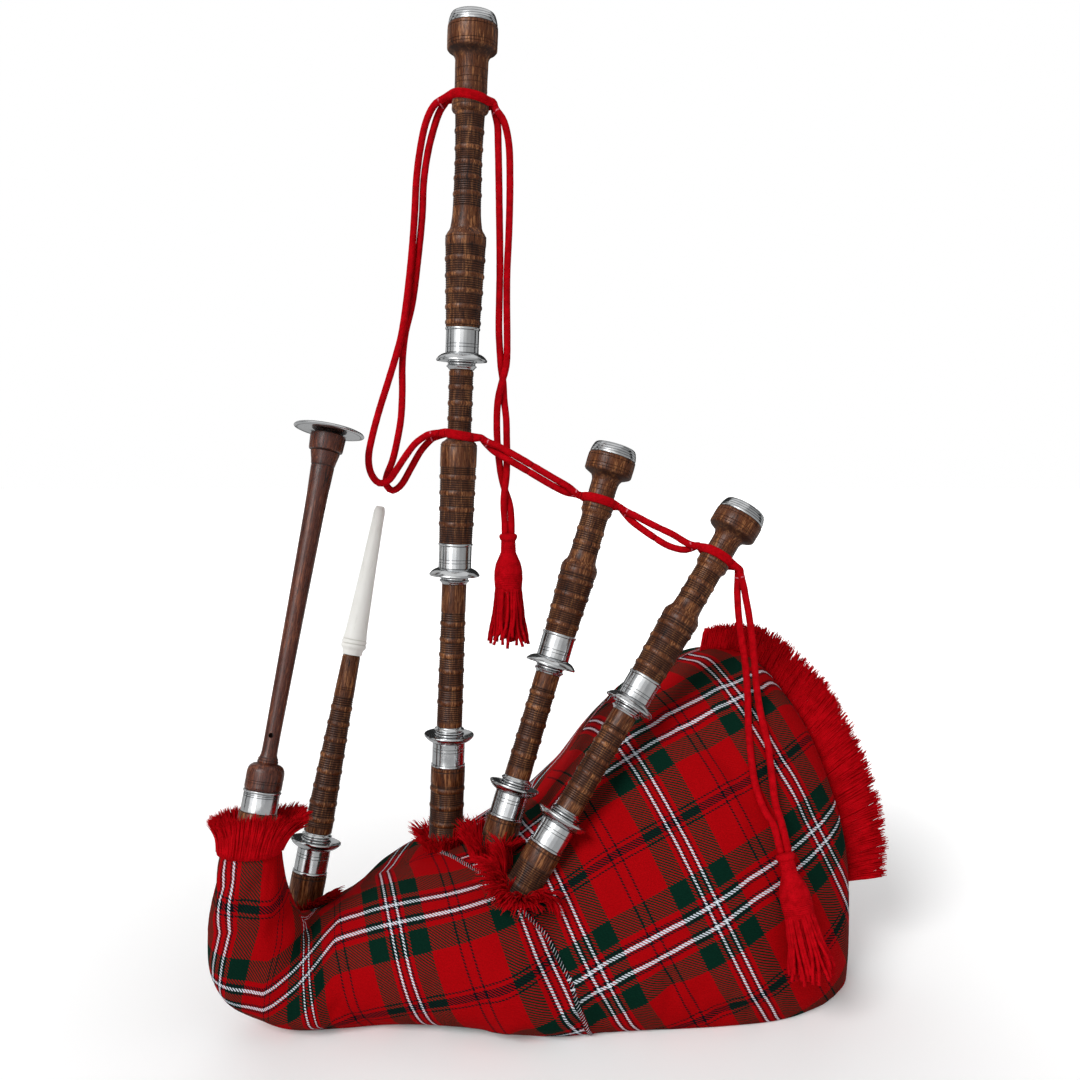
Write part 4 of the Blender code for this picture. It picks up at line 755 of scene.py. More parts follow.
def bell(name, end, length, neck, cord, matrix):
    """Outline points from the cord's seat up round the bell to its bore, and the stepped metal cap."""
    high = end - 11.85
    low = high - length
    wood_top = end - 2.95
    # Third numbers are painted shade in the steps between the cap's rings
    cap = [
        (10.0, end - 0.4),
        (10.6, end),
        (14.0, end + 0.0),
        (20.6, end - 0.2),
        (21.5, end - 0.8),
        (21.9, end - 1.6, 0.9),
        (22.3, end - 2.0),
        (22.8, end - 3.2),
        (23.0, end - 4.2, 0.9),
        (23.3, end - 4.6),
        (23.7, end - 5.8),
        (23.8, end - 6.8, 0.9),
        (24.0, end - 7.2),
        (24.3, end - 8.4),
        (24.3, end - 9.2, 0.9),
        (24.5, end - 9.6),
        (24.5, end - 10.8),
        (24.3, end - 11.4),
        (23.6, end - 11.5),
        (21.1, end - 11.5),
        (21.1, end - 2.6),
        (10.0, end - 2.6),
    ]
    turned(name + "_bell_cap_polished", cap, matrix, MOUNT_METAL, name + "_bell_cap", 96)
    under = low - 10.0
    return [
        (neck + 0.2, cord + 4.5),
        (neck, cord + 7.0),
        *ringed(neck, cord + 10.5, 1, 2, 5.0, 0.3),
        (neck + 0.1, cord + 21.0),
        *ringed(neck + 0.2, cord + 24.0, 1, 1, 5.0, 0.3),
        (neck + 0.3, under + 0.6),
        # Painted shade on the bell's concave underside
        (neck + 1.0, under + 3.0, 0.2),
        (neck + 2.6, under + 5.6, 0.5),
        (21.2, under + 7.8, 0.65),
        (23.9, low - 0.8, 0.55),
        (25.0, low + 0.5, 0.1),
        (25.2, low + 1.8),
        *ringed(25.2, low + 3.0, 1, 1, 2.0, 0.4),
        (25.25, low + 4.2),
        *ringed(25.2, low + 6.2, 1, 1, 2.0, 0.4),
        (25.3, low + 7.6),
        (25.3, high - 4.6),
        *ringed(25.2, high - 3.6, 1, 1, 2.0, 0.4),
        (25.2, high - 2.4),
        (25.0, high - 0.9),
        # Painted shade where the wood meets the cap
        (24.4, high, 0.7),
        (20.2, high, 0.8),
        (20.2, wood_top),
        (14.0, wood_top),
        (14.0, wood_top - 25.0),
        (12.6, wood_top - 28.0),
        (4.0, wood_top - 32.0),
    ]


def cord_seat(cord, neck, comb_end):
    """The beaded collar under the cord, and the hollow that the cord lies in, with painted shade in the ring between
    its beads.
    """
    station, radius = comb_end
    bead = neck + 2.3
    return [
        (radius, station + 0.6),
        (radius + 0.2, station + 2.6),
        (bead - 0.9, station + 4.4),
        (bead, station + 6.2),
        (bead, station + 8.6),
        (bead - 0.5, station + 9.6, 0.7),
        (bead, station + 10.6),
        (bead + 0.1, station + 12.8),
        (bead - 0.5, cord - 4.6),
        (neck, cord - 2.6),
        (neck - 0.3, cord),
        (neck, cord + 3.0),
    ]


def shoulder(start, radius, edge):
    """A plain swelling with a ring at its upper edge, which has painted shade."""
    return [
        (radius - 0.1, start + 0.8),
        (radius, start + 2.5),
        (radius + 0.05, edge - 3.2),
        (radius - 0.35, edge - 2.6, 0.7),
        (radius, edge - 2.0),
        (radius, edge - 0.9),
        (radius - 0.7, edge),
    ]


def spigot(rim, radius):
    return [(15.1, rim + 4.3), (15.1, rim + 33.85), (radius - 0.3, rim + 33.85), (radius, rim + 34.4)]


def make_bass():
    matrix = pipe_frame("bass")
    stock("bass", 150.0, (-57.5, -75.4, -93.3, -111.2, -129.0), matrix)
    beads = (34.8, 51.3, 68.3, 84.7, 101.1, 118.0)
    lower_joint("bass", 168.3, 12.75, (15.0, 13.3), (129.5, 12.6), beads, matrix)
    middle = [
        *spigot(168.3, 17.2),
        *combed((203.0, 17.3), (280.3, 18.5), (221.5, 237.0, 253.6, 270.1)),
        *shoulder(280.3, 18.75, 304.0),
        (17.2, 305.6),
        (14.6, 307.2),
        (12.6, 309.2),
        (12.2, 311.5),
        (12.2, 318.0),
        *combed((319.4, 12.2), (373.0, 12.4), (329.6, 345.4, 361.7)),
        (12.6, 374.0),
        (12.6, 377.4),
        *pin(388.6, 12.2)[1:],
        *socket(168.3),
    ]
    turned("bass_middle_joint_turned", middle, matrix, DRONE_WOOD, "bass_middle_joint")
    mount("bass_middle_mount", 168.3, 1, matrix)
    collar("bass_middle_collar", 392.55, -1, matrix)
    top = [
        *spigot(388.6, 17.4),
        *combed((423.4, 17.5), (503.1, 20.5), (426.8, 442.1, 457.6, 473.6, 490.1)),
        *shoulder(503.1, 20.75, 514.0),
        (18.8, 516.4),
        (17.0, 519.0),
        (16.0, 521.9),
        (15.9, 523.2),
        (15.2, 528.0),
        (14.5, 535.0),
        (14.3, 541.2),
        *combed((541.8, 14.3), (589.2, 13.5), (554.7, 570.5, 585.0)),
        *combed((589.4, 13.5), (631.3, 14.9), (599.5, 616.6)),
        *cord_seat(651.5, 16.3, (631.3, 14.9)),
        *bell("bass", 731.0, 24.0, 16.4, 651.5, matrix),
        *socket(388.6),
    ]
    turned("bass_top_joint_turned", top, matrix, DRONE_WOOD, "bass_top_joint")
    mount("bass_top_mount", 388.6, 1, matrix)
    return matrix


def make_tenor(name):
    matrix = pipe_frame(name)
    stock(name, 112.0, (-75.0, -92.0) if name == "tenor_2" else (-88.0,), matrix)
    lower_joint(name, 127.5, 12.75, (20.0, 13.2), (103.0, 12.75), (33.0, 49.5, 66.0, 82.5, 97.0), matrix)
    top = [
        *spigot(127.5, 16.4),
        *combed((162.4, 16.5), (225.0, 18.8), (171.0, 186.5, 202.0, 217.5)),
        *shoulder(225.0, 19.1, 233.8),
        (17.6, 235.8),
        (15.8, 238.2),
        (14.9, 240.6),
        (14.5, 244.0),
        (14.3, 248.5),
        *combed((249.0, 14.3), (286.5, 13.9), (258.0, 272.0)),
        *cord_seat(305.0, 14.0, (286.5, 13.9)),
        *bell(name, 365.0, 18.0, 14.1, 305.0, matrix),
        *socket(127.5),
    ]
    turned(name + "_top_joint_turned", top, matrix, DRONE_WOOD, name + "_top_joint")
    mount(name + "_top_mount", 127.5, 1, matrix)
    return matrix


# The chanter's holes: station, radius and side in degrees, -90 facing the camera
CHANTER_HOLES = (
    (51.9, 2.3, -90.0),
    *((66.0 + 24.5 * hole, 2.5, 90.0) for hole in range(7)),
    (272.0, 3.0, 0.0),
    (272.0, 3.0, 180.0),
)


def make_chanter():
    matrix = pipe_frame("chanter")
    stock_outline = [
        (12.0, 0.0),
        (15.1, 0.0),
        (15.1, -20.95),
        (17.5, -20.95),
        (17.9, -21.5),
        (17.9, -93.5),
        (16.4, -95.0),
        (12.0, -95.0),
    ]
    turned("chanter_stock_turned", stock_outline, matrix, DRONE_WOOD, "chanter_stock")
    # Third numbers are painted shade under its rounded rim and in its engraved lines
    ferrule = [
        (15.8, 0.0),
        (17.2, 0.0),
        (17.9, -0.5),
        (17.95, -1.3),
        (17.5, -2.1),
        (16.9, -2.5, 0.7),
        *ringed(16.9, -4.2, -1, 2, 1.7),
        (16.9, -19.6),
        (16.6, -20.6),
        (15.8, -20.6),
    ]
    turned("chanter_stock_ferrule_polished", ferrule, matrix, MOUNT_METAL, "chanter_stock_ferrule", 96)
    # Third numbers are painted shade: in the rings above the stock's bulb, at the foot of the cup, and in the dark
    # band between the cup and the sole
    outline = [
        (5.0, -42.0),
        (11.5, -42.0),
        (11.5, 0.35),
        (16.4, 0.35),
        (17.2, 1.4),
        (17.5, 3.0),
        *ringed(17.5, 7.0, 1, 2, 2.2, 0.35),
        (17.6, 12.0),
        (17.5, 17.0),
        (16.9, 20.0),
        (15.4, 22.6),
        (13.0, 24.2),
        (10.6, 24.9, 0.5),
        (9.5, 25.6),
        (9.9, 26.4),
        (9.9, 27.4),
        (9.2, 28.0, 0.7),
        (9.4, 28.8),
        (9.4, 29.8),
        (8.5, 30.6, 0.6),
        (8.2, 31.8),
        (7.7, 33.5),
        (7.4, 38.0),
        (7.4, 52.0),
        (8.7, 174.0),
        (9.8, 261.0),
        (10.4, 290.0),
        (11.0, 304.0),
        (11.4, 314.6),
        (11.0, 315.4, 0.9),
        (11.6, 316.2),
        (12.5, 321.0),
        (13.7, 326.0),
        (14.3, 328.6),
        (13.9, 329.4, 1.0),
        (15.0, 330.0, 0.3),
        (16.2, 330.6),
        (16.6, 332.0),
        (16.9, 336.0),
        (17.3, 342.0),
        (17.5, 345.0),
        (17.2, 346.3),
        (16.2, 346.9, 0.3),
        (12.6, 347.1, 0.9),
        (12.0, 347.6, 0.9),
        (12.0, 352.2),
        (9.0, 352.2),
        (2.6, -30.0),
        (5.0, -30.0),
    ]
    pipe = turned("chanter_turned", outline, matrix, CHANTER_WOOD, "chanter", 96)
    cut_holes(pipe, CHANTER_HOLES, matrix)
    # Third numbers are painted shade in a thin ring under the sole's rim
    sole = [
        (12.35, 353.2),
        (28.6, 353.2),
        (31.6, 352.9),
        (33.6, 352.2),
        (34.6, 351.2),
        (34.8, 350.6),
        (34.3, 349.9),
        (32.4, 349.3),
        (32.0, 349.3, 1.0),
        (31.2, 349.3, 1.0),
        (30.8, 349.25),
        (26.0, 349.2),
        (20.0, 349.2),
        (15.0, 348.9),
        (12.35, 347.6),
    ]
    turned("chanter_sole_polished", sole, matrix, MOUNT_METAL, "chanter_sole", 96)


def cut_holes(pipe, holes, matrix):
    """Cuts slightly dished holes into a turned pipe."""
    shape = bmesh.new()
    for station, radius, side in holes:
        turn = Matrix.Rotation(math.radians(side), 4, "Z")
        place = Matrix.Translation((0.0, 0.0, station * MM)) @ turn @ Matrix.Translation((12.0 * MM, 0.0, 0.0))
        bmesh.ops.create_cone(
            shape,
            cap_ends=True,
            segments=24,
            radius1=radius * MM,
            radius2=radius * MM * 1.2,
            depth=22.0 * MM,
            matrix=place @ Matrix.Rotation(math.radians(90), 4, "Y"),
        )
    mesh = bpy.data.meshes.new("hole_cutter")
    shape.to_mesh(mesh)
    shape.free()
    cutter = bpy.data.objects.new("hole_cutter", mesh)
    bpy.context.scene.collection.objects.link(cutter)
    cutter.matrix_world = matrix
    cut = pipe.modifiers.new("Holes", "BOOLEAN")
    cut.operation = "DIFFERENCE"
    cut.solver = "EXACT"
    cut.object = cutter
    bpy.context.view_layer.update()
    graph = bpy.context.evaluated_depsgraph_get()
    made = bpy.data.meshes.new_from_object(pipe.evaluated_get(graph))
    pipe.modifiers.clear()
    pipe.data = made
    bpy.data.objects.remove(cutter)


def make_blowpipe():
    matrix = pipe_frame("blowpipe")
    stock("blowpipe", 100.0, (), matrix)
    outline = [
        (5.0, -42.0),
        *tenon(14.4),
        (14.4, 14.0),
        *combed((15.0, 14.5), (150.0, 10.3), (23.0, 39.5, 56.0, 72.5, 89.0, 105.5, 122.0, 138.5)),
        (10.4, 151.0),
        *ringed(10.2, 158.0, 1, 2, 2.2, 0.35),
        (10.0, 164.0),
        (9.3, 191.6),
        (8.8, 194.0),
        (6.6, 194.0),
        (6.6, 210.0),
        (5.0, 210.0),
    ]
    turned("blowpipe_turned", outline, matrix, DRONE_WOOD, "blowpipe")
    collar("blowpipe_collar", -3.95, 1, matrix)
    base = 194.35
    tip = base + 159.0
    # Third numbers are painted shade in the rings between its beads
    mouthpiece = [
        (6.95, base),
        (9.9, base),
        (10.4, base + 1.0),
        (10.6, base + 4.0),
        (11.4, base + 6.2),
        (12.9, base + 7.6),
        (13.3, base + 9.4),
        (12.9, base + 11.0),
        (12.2, base + 11.7, 0.8),
        (12.9, base + 12.5),
        (13.2, base + 14.0),
        (12.8, base + 15.5),
        (12.0, base + 16.2, 0.8),
        (12.4, base + 17.0),
        (12.3, base + 18.6),
        (11.7, base + 22.0),
        (11.2, base + 28.0),
        (8.3, base + 90.0),
        (6.2, base + 146.0),
        (6.15, base + 151.0),
        (5.85, base + 154.0),
        (5.3, base + 156.2),
        (4.7, base + 157.8),
        (4.2, base + 158.8),
        (3.9, tip),
        (3.6, tip - 0.4),
        (3.6, 213.0),
        (6.95, 210.35),
    ]
    turned("mouthpiece_polished", mouthpiece, matrix, IVORY, "mouthpiece")
    return matrix


# ---- cord and tassels


def pair_strands(rows, spacing=4.0):
    smooth = smooth_rows([(*place, spread, turn) for place, spread, turn in rows], spacing)
    runs = np.gradient(smooth[:, :3], axis=0)
    side = np.stack((-runs[:, 2], np.zeros(len(runs)), runs[:, 0]), 1)
    side /= np.linalg.norm(side, axis=1, keepdims=True)
    turn = np.radians(smooth[:, 4:5])
    offset = smooth[:, 3:4] * (np.cos(turn) * side + np.sin(turn) * np.array((0.0, -1.0, 0.0)))
    return smooth[:, :3] - offset, smooth[:, :3] + offset


def cord_piece(name, path, ends, nodes):
    """One strand. ends is one body, which the strand is attached to; with more entries, the bodies and the places
    where the turn between them starts and ends are not used, and the strand is left unattached.
    """
    path = np.asarray(path) * MM
    radii = np.full(len(path), CORD_RADIUS * MM)
    for k, point in enumerate(path):
        radii[k] *= 1 + 0.035 * noise.noise(Vector(point) * 260)
    radii[[0, -1]] *= 0.92
    points, faces = sweep([path], [radii], 16)
    obj = new_object(name, points, faces)
    obj.data.shade_smooth()
    if len(ends) == 1:
        dress(obj, CORD_WOOL, "cord_wool", ends[0], *nodes)
    else:
        dress(obj, CORD_WOOL, "cord_wool", None, *nodes)
        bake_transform(obj)
    return obj


def whip(name, first, second, place, body):
    """Thin thread wound on a slant round both strands, a little way from their ends."""
    spots, runs = [], []
    for path in (first, second):
        path = path if place > 0 else path[::-1]
        reach = np.concatenate(([0], np.cumsum(np.linalg.norm(np.diff(path, axis=0), axis=1))))
        spots.append(Vector([np.interp(abs(place), reach, path[:, k]) for k in range(3)]))
        runs.append(Vector(path[3] - path[0]).normalized())
    along = (runs[0] + runs[1]).normalized()
    across = (spots[1] - spots[0]) / 2
    flat = along.cross(across).normalized()
    across = flat.cross(along).normalized() * (across.length + CORD_RADIUS + 0.15)
    flat *= CORD_RADIUS + 0.15
    middle = (spots[0] + spots[1]) / 2
    path = []
    for k in range(61):
        angle = math.tau * k / 20
        rise = 0.45 * (k / 20 - 1.5) + 1.3 * math.sin(angle)
        path.append((middle + across * math.cos(angle) + flat * math.sin(angle) + along * rise) * MM)
    points, faces = sweep([path], 0.3 * MM, 8)
    obj = new_object(name, points, faces)
    obj.data.shade_smooth()
    return dress(obj, WHIP_THREAD, "cord_wool", body)


def neck_loop(name, matrix, station, fall, seat_radius, left, right, node):
    """The two strands that pass a drone's neck, pressed against its front and back, and meet at either side."""
    inverse = matrix.inverted()
    hug = seat_radius + CORD_RADIUS * 0.88
    paths = []
    for number, (first, last) in enumerate(zip(left, right, strict=True)):
        towards = -1 if number == 0 else 1
        ends = [[inverse @ (Vector(point) * MM) / MM for point in path] for path in (first, last)]
        row = [*ends[0][::-1]]
        for degrees in range(155, 24, -26):
            angle = math.radians(degrees)
            high = station - fall * (1 + math.cos(angle)) / 2
            row.append(Vector((hug * math.cos(angle), towards * hug * math.sin(angle), high)))
        row += ends[1]
        smooth = smooth_rows([tuple(point) for point in row], 1.6)
        paths.append(smooth[np.linspace(0, len(smooth) - 1, 44).round().astype(int)])
    points, faces = sweep(paths, CORD_RADIUS + 0.05, 16)
    centres = np.repeat(np.array(paths).reshape(-1, 3), 16, axis=0)
    offset = points - centres
    reach = np.hypot(centres[:, 0], centres[:, 1])
    press = np.clip(1 - (reach - hug) / 6.0, 0, 1)
    out = centres[:, :2] / reach[:, None]
    radial = (offset[:, :2] * out).sum(1)
    offset[:, :2] -= out * (radial * 0.14 * press)[:, None]
    offset[:, 2] *= 1 + 0.3 * press
    obj = new_object(name, (centres + offset) * MM, faces)
    obj.matrix_world = matrix
    obj.data.shade_smooth()
    return dress(obj, CORD_WOOL, "cord_wool", BODY_OF[node], node)


def yarns(name, paths, radius, material, body, nodes=(), sides=5, ply=0.0):
    points, faces = sweep(paths, radius, sides, ply)
    obj = new_object(name, points, faces)
    obj.data.shade_smooth()
    return dress(obj, material, "cord_wool", body, *nodes)


# A tassel's wound neck and bulb, from its top, then its skirt's rings: yarns, and radius at top and bottom
TASSEL_STATIONS = (8.0, 12.0, 20.0, 26.0, 32.0, 40.0, 48.0, 56.0, 62.0)
TASSEL_RADII = (7.7, 7.9, 8.2, 10.8, 13.4, 15.0, 15.2, 14.6, 13.0)
SKIRT_RINGS = ((26, 12.6, 21.0), (20, 9.0, 15.5), (12, 5.0, 9.0))


def tassel(number, body):
    """A knob, a wound neck and bulb, and a skirt of separate yarns."""
    top, aim = Vector(TASSEL_TOPS[number - 1]), Vector(TASSEL_AIMS[number - 1])
    matrix = axis_frame(top * MM, (aim - top).normalized())
    outline = [(0.0, 0.0), (3.5, 0.1), (6.4, 0.6), (8.8, 1.6), (9.6, 3.2), (9.4, 5.2), (8.6, 7.0), (7.7, 8.0, 0.6)]
    step = 1.9
    station = 8.4
    while station < 60.0:
        radius = float(np.interp(station, TASSEL_STATIONS, TASSEL_RADII))
        outline += [(radius - 0.4, station, 0.5), (radius, station + step * 0.3), (radius, station + step * 0.7)]
        station += step
    outline += [(12.6, 61.0, 0.5), (11.0, 64.0), (8.0, 70.0), (0.0, 72.0)]
    node = f"tassel_{number}"
    bulb = turned(node + "_wound", outline, matrix, (CORD_WOOL, "cord_wool"), node, 64)
    rng = random.Random(40 + number)
    paths = []
    rotation = matrix.to_3x3()
    for ring_number, (count, start_radius, end_radius) in enumerate(SKIRT_RINGS):
        for k in range(count):
            angle = math.tau * (k + rng.uniform(-0.3, 0.3)) / count
            wave, phase = rng.uniform(0.6, 2.0), rng.uniform(0, math.tau)
            length = rng.uniform(50.0, 64.0) - 2.0 * ring_number
            reach = end_radius * rng.uniform(0.88, 1.04)
            path = []
            for step_number in range(25):
                share = step_number / 24
                radius = start_radius + (reach - start_radius) * share**1.2
                turn = angle + 0.07 * wave * math.sin(4.0 * share + phase)
                swing = wave * math.sin(6.5 * share + phase) * share
                place = Vector((radius * math.cos(turn) + swing, radius * math.sin(turn) + swing, 57.0 + length * share))
                path.append(matrix.translation + rotation @ (place * MM))
            paths.append(path)
    skirt = yarns(node + "_skirt", paths, 1.75 * MM, CORD_WOOL, body, sides=8, ply=7.0)
    return bulb, skirt


def stretch(name, strands, bodies, split, far_ends, whips, node, pieces=()):
    """Two strands of a stretch. Where it joins two drones, each strand has a half for either drone."""
    for letter, path in zip("ab", strands, strict=True):
        if split:
            half = len(path) // 2
            low, high = path[: half + 1], path[half:]
            cord_piece(f"{name}_{letter}_1", low, ("root", bodies[0], low[-1] * MM, low[0] * MM), [node])
            cord_piece(f"{name}_{letter}_2", high[::-1], ("root", bodies[1], high[0] * MM, high[-1] * MM), [node])
        else:
            cord_piece(f"{name}_{letter}", path, bodies, [node])
    for number, (place, body) in enumerate(whips, 1):
        whip(f"{name}_whip_{number}", *strands, place, body)


def make_cord(matrices):
    drop = pair_strands(BASS_DROP)
    loop = (smooth_rows(LEFT_LOOP_OUTER, 4.0), smooth_rows(LEFT_LOOP_INNER, 4.0))
    first = pair_strands(BASS_TO_TENOR)
    second = pair_strands(TENOR_TO_TENOR)
    tail = pair_strands(TENOR_DROP)
    # The last points of a stretch on the left of a neck, front strand first, and the first ones on its right
    heads = {key: [path[:2] for path in pair[::-1]] for key, pair in (("d", drop), ("f", first), ("s", second), ("t", tail))}
    feet = {key: [path[:-3:-1] for path in pair[::-1]] for key, pair in (("f", first), ("s", second))}
    top_left = [path[:2] for path in loop]
    foot_left = [path[:-3:-1] for path in loop]
    necks = (
        ("bass_top", "bass", 651.0, 6.0, 16.4, top_left, heads["d"]),
        ("bass_middle", "bass", 315.0, 4.0, 12.2, foot_left, heads["f"]),
        ("tenor_1_top", "tenor_1", 305.0, 0.0, 13.8, feet["f"], heads["s"]),
        ("tenor_2_top", "tenor_2", 305.0, 0.0, 13.8, feet["s"], heads["t"]),
    )
    for name, pipe, *sizes in necks:
        neck_loop(name + "_neck_strands", matrices[pipe], *sizes, name + "_cord_loop")
    tassels = tassel(1, "bass_top"), tassel(2, "root")
    stretch("bass_drop", drop, ("bass_top",), False, "knot", ((8.0, "bass_top"),), "cord_bass_drop", tassels[0])
    ends = ("bass_middle", "bass_top", (-0.11, 0.012, 0.58), (-0.1, 0.03, 0.86))
    whips = ((8.0, "bass_top"), (-8.0, "bass_middle"))
    stretch("left_loop", loop, ends, False, "object", whips, "cord_left_loop")
    whips = ((8.0, "bass_middle"), (-8.0, "tenor_1_top"))
    stretch("bass_to_tenor", first, ("bass_middle", "tenor_1_top"), True, "", whips, "cord_bass_to_tenor_1")
    whips = ((8.0, "tenor_1_top"), (-8.0, "tenor_2_top"))
    stretch("tenor_to_tenor", second, ("tenor_1_top", "tenor_2_top"), True, "", whips, "cord_tenor_1_to_tenor_2")
    ends = ("root", "tenor_2_top", (0.221, -0.0125, 0.3), (0.2035, -0.0076, 0.434))
    stretch("tenor_drop", tail, ends, False, "knot", ((8.0, "tenor_2_top"),), "cord_tenor_2_drop", tassels[1])


# ---- bag


def ring_points(middle, lean, half_height, half_depth, back, sides, grow, floor):
    """A closed superellipse in a leaning plane, cut off flat at the floor, in millimetres."""
    tilt = math.radians(lean)
    up = np.array((math.cos(tilt), 0.0, math.sin(tilt)))
    angle = np.arange(sides) * math.tau / sides
    power = 2 / BAG_SQUARENESS
    across = np.sign(np.cos(angle)) * np.abs(np.cos(angle)) ** power
    rise = np.sign(np.sin(angle)) * np.abs(np.sin(angle)) ** power
    points = np.array(middle) + up * (rise * (half_height + grow))[:, None]
    points[:, 1] += across * (half_depth + grow) + back * rise
    points[:, 2] = np.maximum(points[:, 2], floor)
    return points


def station_rows():
    """Each ring as one row of numbers: middle, lean, half height, half depth and backward lean."""
    rows = [(*middle, lean, *rest) for middle, lean, *rest in NECK_RINGS]
    for x, y, top, half_depth, back in TRUNK_RINGS:
        half_height = (top + TRUNK_SINK) / 2
        rows.append((x, y, top - half_height, 90.0, half_height, half_depth, back))
    x, y, z = BAG_END
    rows.append((x, y, z, 90.0, 3.0, 3.0, 0.0))
    return rows


def bag_grid(sides, spacing, grow, floor):
    rows = smooth_rows(station_rows(), spacing)
    rows[:, 4:6] = np.maximum(rows[:, 4:6], 3.0)
    grids = [ring_points(row[:3], row[3], row[4], row[5], row[6], sides, grow, floor) for row in rows]
    return rows, np.array(grids)


# The cover's threads: by place along the bag, their turn in degrees
THREAD_TURNS = ((-240.0, -8.0), (-190.0, 17.0), (-60.0, 17.0), (100.0, 26.0))
THREAD_START = -400.0
TURN_HEIGHT = 110.0
# Shifts of the checks along and across: at two places on the neck's panel, and all over the lobe's panel
NECK_SHIFTS = ((-250.0, -103.0, 40.0), (-170.0, -39.0, -11.0))
LOBE_SHIFT = (-580.0, -64.0)
# The hem between the panels: height on the flattened cover, and place along it
HEM_PLACES = ((-60.0, 100.0), (0.0, 84.0), (60.0, 66.0), (108.0, 41.0), (159.0, -3.0), (231.0, -68.0), (290.0, -112.0))


def flat_places(rows, grid):
    """Each point on its flattened panel: along the bag, and up from the middle line of its front or back."""
    count, sides = grid.shape[:2]
    quarter = sides // 4
    steps = np.hypot(np.diff(rows[:, 0]), np.diff(rows[:, 1])) * np.sign(np.diff(rows[:, 0]))
    along = rows[0, 0] + np.concatenate(([0], np.cumsum(steps)))
    places = np.zeros((count, sides, 2))
    for i in range(count):
        tilt = math.radians(rows[i, 3])
        for start in (0, 2 * quarter):
            for towards in (-1, 1):
                up = 1.0 if (start == 0) == (towards == 1) else -1.0
                index = [(start + towards * k) % sides for k in range(quarter + 1)]
                reach = np.concatenate(([0], np.cumsum(np.linalg.norm(np.diff(grid[i, index], axis=0), axis=1))))
                places[i, index, 0] = along[i] + up * reach * math.cos(tilt)
                places[i, index, 1] = rows[i, 2] + up * reach * math.sin(tilt)
    return places


def hem_side(places):
    """Above zero on the lobe's panel, below zero on the neck's."""
    return places[..., 0] - np.interp(places[..., 1], *zip(*HEM_PLACES, strict=True))


def thread_places(places):
    """Places counted in threads: the threads turn slowly along the bag, and start anew at the hem."""
    x = np.arange(THREAD_START, 600.0, 0.5)
    turn = np.radians(np.interp(x, *zip(*THREAD_TURNS, strict=True)))
    forward, sideways = np.cumsum(np.cos(turn)) * 0.5, np.cumsum(np.sin(turn)) * 0.5
    place, rise = places[..., 0], places[..., 1] - TURN_HEIGHT
    here = np.interp(place, x, turn)
    along = np.interp(place, x, forward) + rise * np.sin(here)
    across = rise * np.cos(here) - np.interp(place, x, sideways)
    known, along_shift, across_shift = zip(*NECK_SHIFTS, strict=True)
    lobe = hem_side(places) > 0
    along += np.where(lobe, LOBE_SHIFT[0], np.interp(place, known, along_shift))
    across += np.where(lobe, LOBE_SHIFT[1], np.interp(place, known, across_shift))
    return np.stack((along, across, np.zeros_like(along)), -1)


def bag_mesh(name, grid, closed_start=False):
    count, sides = grid.shape[:2]
    index = np.arange(count * sides).reshape(count, sides)
    other = np.roll(index, -1, axis=1)
    quads = np.stack((index[:-1], other[:-1], other[1:], index[1:]), -1).reshape(-1, 4)
    faces = quads.tolist() + [index[-1].tolist()]
    if closed_start:
        faces.append(index[0][::-1].tolist())
    obj = new_object(name, grid.reshape(-1, 3) * MM, faces)
    shape = bmesh.new()
    shape.from_mesh(obj.data)
    bmesh.ops.recalc_face_normals(shape, faces=shape.faces)
    shape.to_mesh(obj.data)
    shape.free()
    obj.data.shade_smooth()
    return obj


def make_hem(flat, grid):
    """The folded edge where the lobe's panel lies over the neck's, with slanted stitches in pale thread."""
    side = hem_side(flat)
    sides = grid.shape[1]
    line = []
    for k in range(sides):
        i = int(np.argmax(side[:, k] > 0))
        share = side[i - 1, k] / (side[i - 1, k] - side[i, k])
        line.append(grid[i - 1, k] + (grid[i, k] - grid[i - 1, k]) * share)
    line = np.array(line)
    centre = line.mean(axis=0)
    out = line - centre
    out /= np.linalg.norm(out, axis=1, keepdims=True)
    along = np.roll(line, -1, axis=0) - np.roll(line, 1, axis=0)
    along /= np.linalg.norm(along, axis=1, keepdims=True)
    across = np.cross(along, out)
    points = []
    profile = ((-2.8, -0.6), (-2.6, 0.5), (-2.0, 1.0), (0.0, 1.15), (2.0, 1.0), (2.6, 0.5), (2.8, -0.6))
    for k in range(sides):
        for wide, high in profile:
            points.append((line[k] + across[k] * wide + out[k] * high) * MM)
    count = len(profile)
    faces = []
    for k in range(sides):
        low, high = k * count, (k + 1) % sides * count
        for j in range(count):
            m = (j + 1) % count
            faces.append((low + j, low + m, high + m, high + j))
    hem = new_object("cover_hem", points, faces)
    hem.data.shade_smooth()
    places = np.repeat(np.arange(sides), count) * 4.4 * MM
    woven = np.stack((places, np.full(len(points), 0.0145), np.zeros(len(points))), 1).astype(np.float32)
    hem.data.attributes.new("cloth", "FLOAT_VECTOR", "POINT").data.foreach_set("vector", woven.ravel())
    dress(hem, TARTAN, "tartan_cloth", "root")
    reach = np.concatenate(([0], np.cumsum(np.linalg.norm(np.diff(line, axis=0), axis=1))))
    paths = []
    for place in np.arange(0.0, reach[-1], 3.5):
        spot, lift, slant, run = (
            np.array([np.interp(place, reach, table[:, j]) for j in range(3)]) for table in (line, out, across, along)
        )
        path = []
        for share in (-1.0, -0.5, 0.0, 0.5, 1.0):
            height = 1.45 - 0.7 * share * share
            path.append((spot + slant * share * 2.1 + run * share * 1.6 + lift * height) * MM)
        paths.append(path)
    yarns("cover_hem_stitches", paths, 0.25 * MM, HEM_THREAD, "root", sides=6)


COVER_SIDES = 160
COVER_SPACING = 3.0
# The share by which the cover's cloth is too long, and the most that a simulated fold stands out
CLOTH_SLACK = 0.04
CLOTH_CAP = 5.0


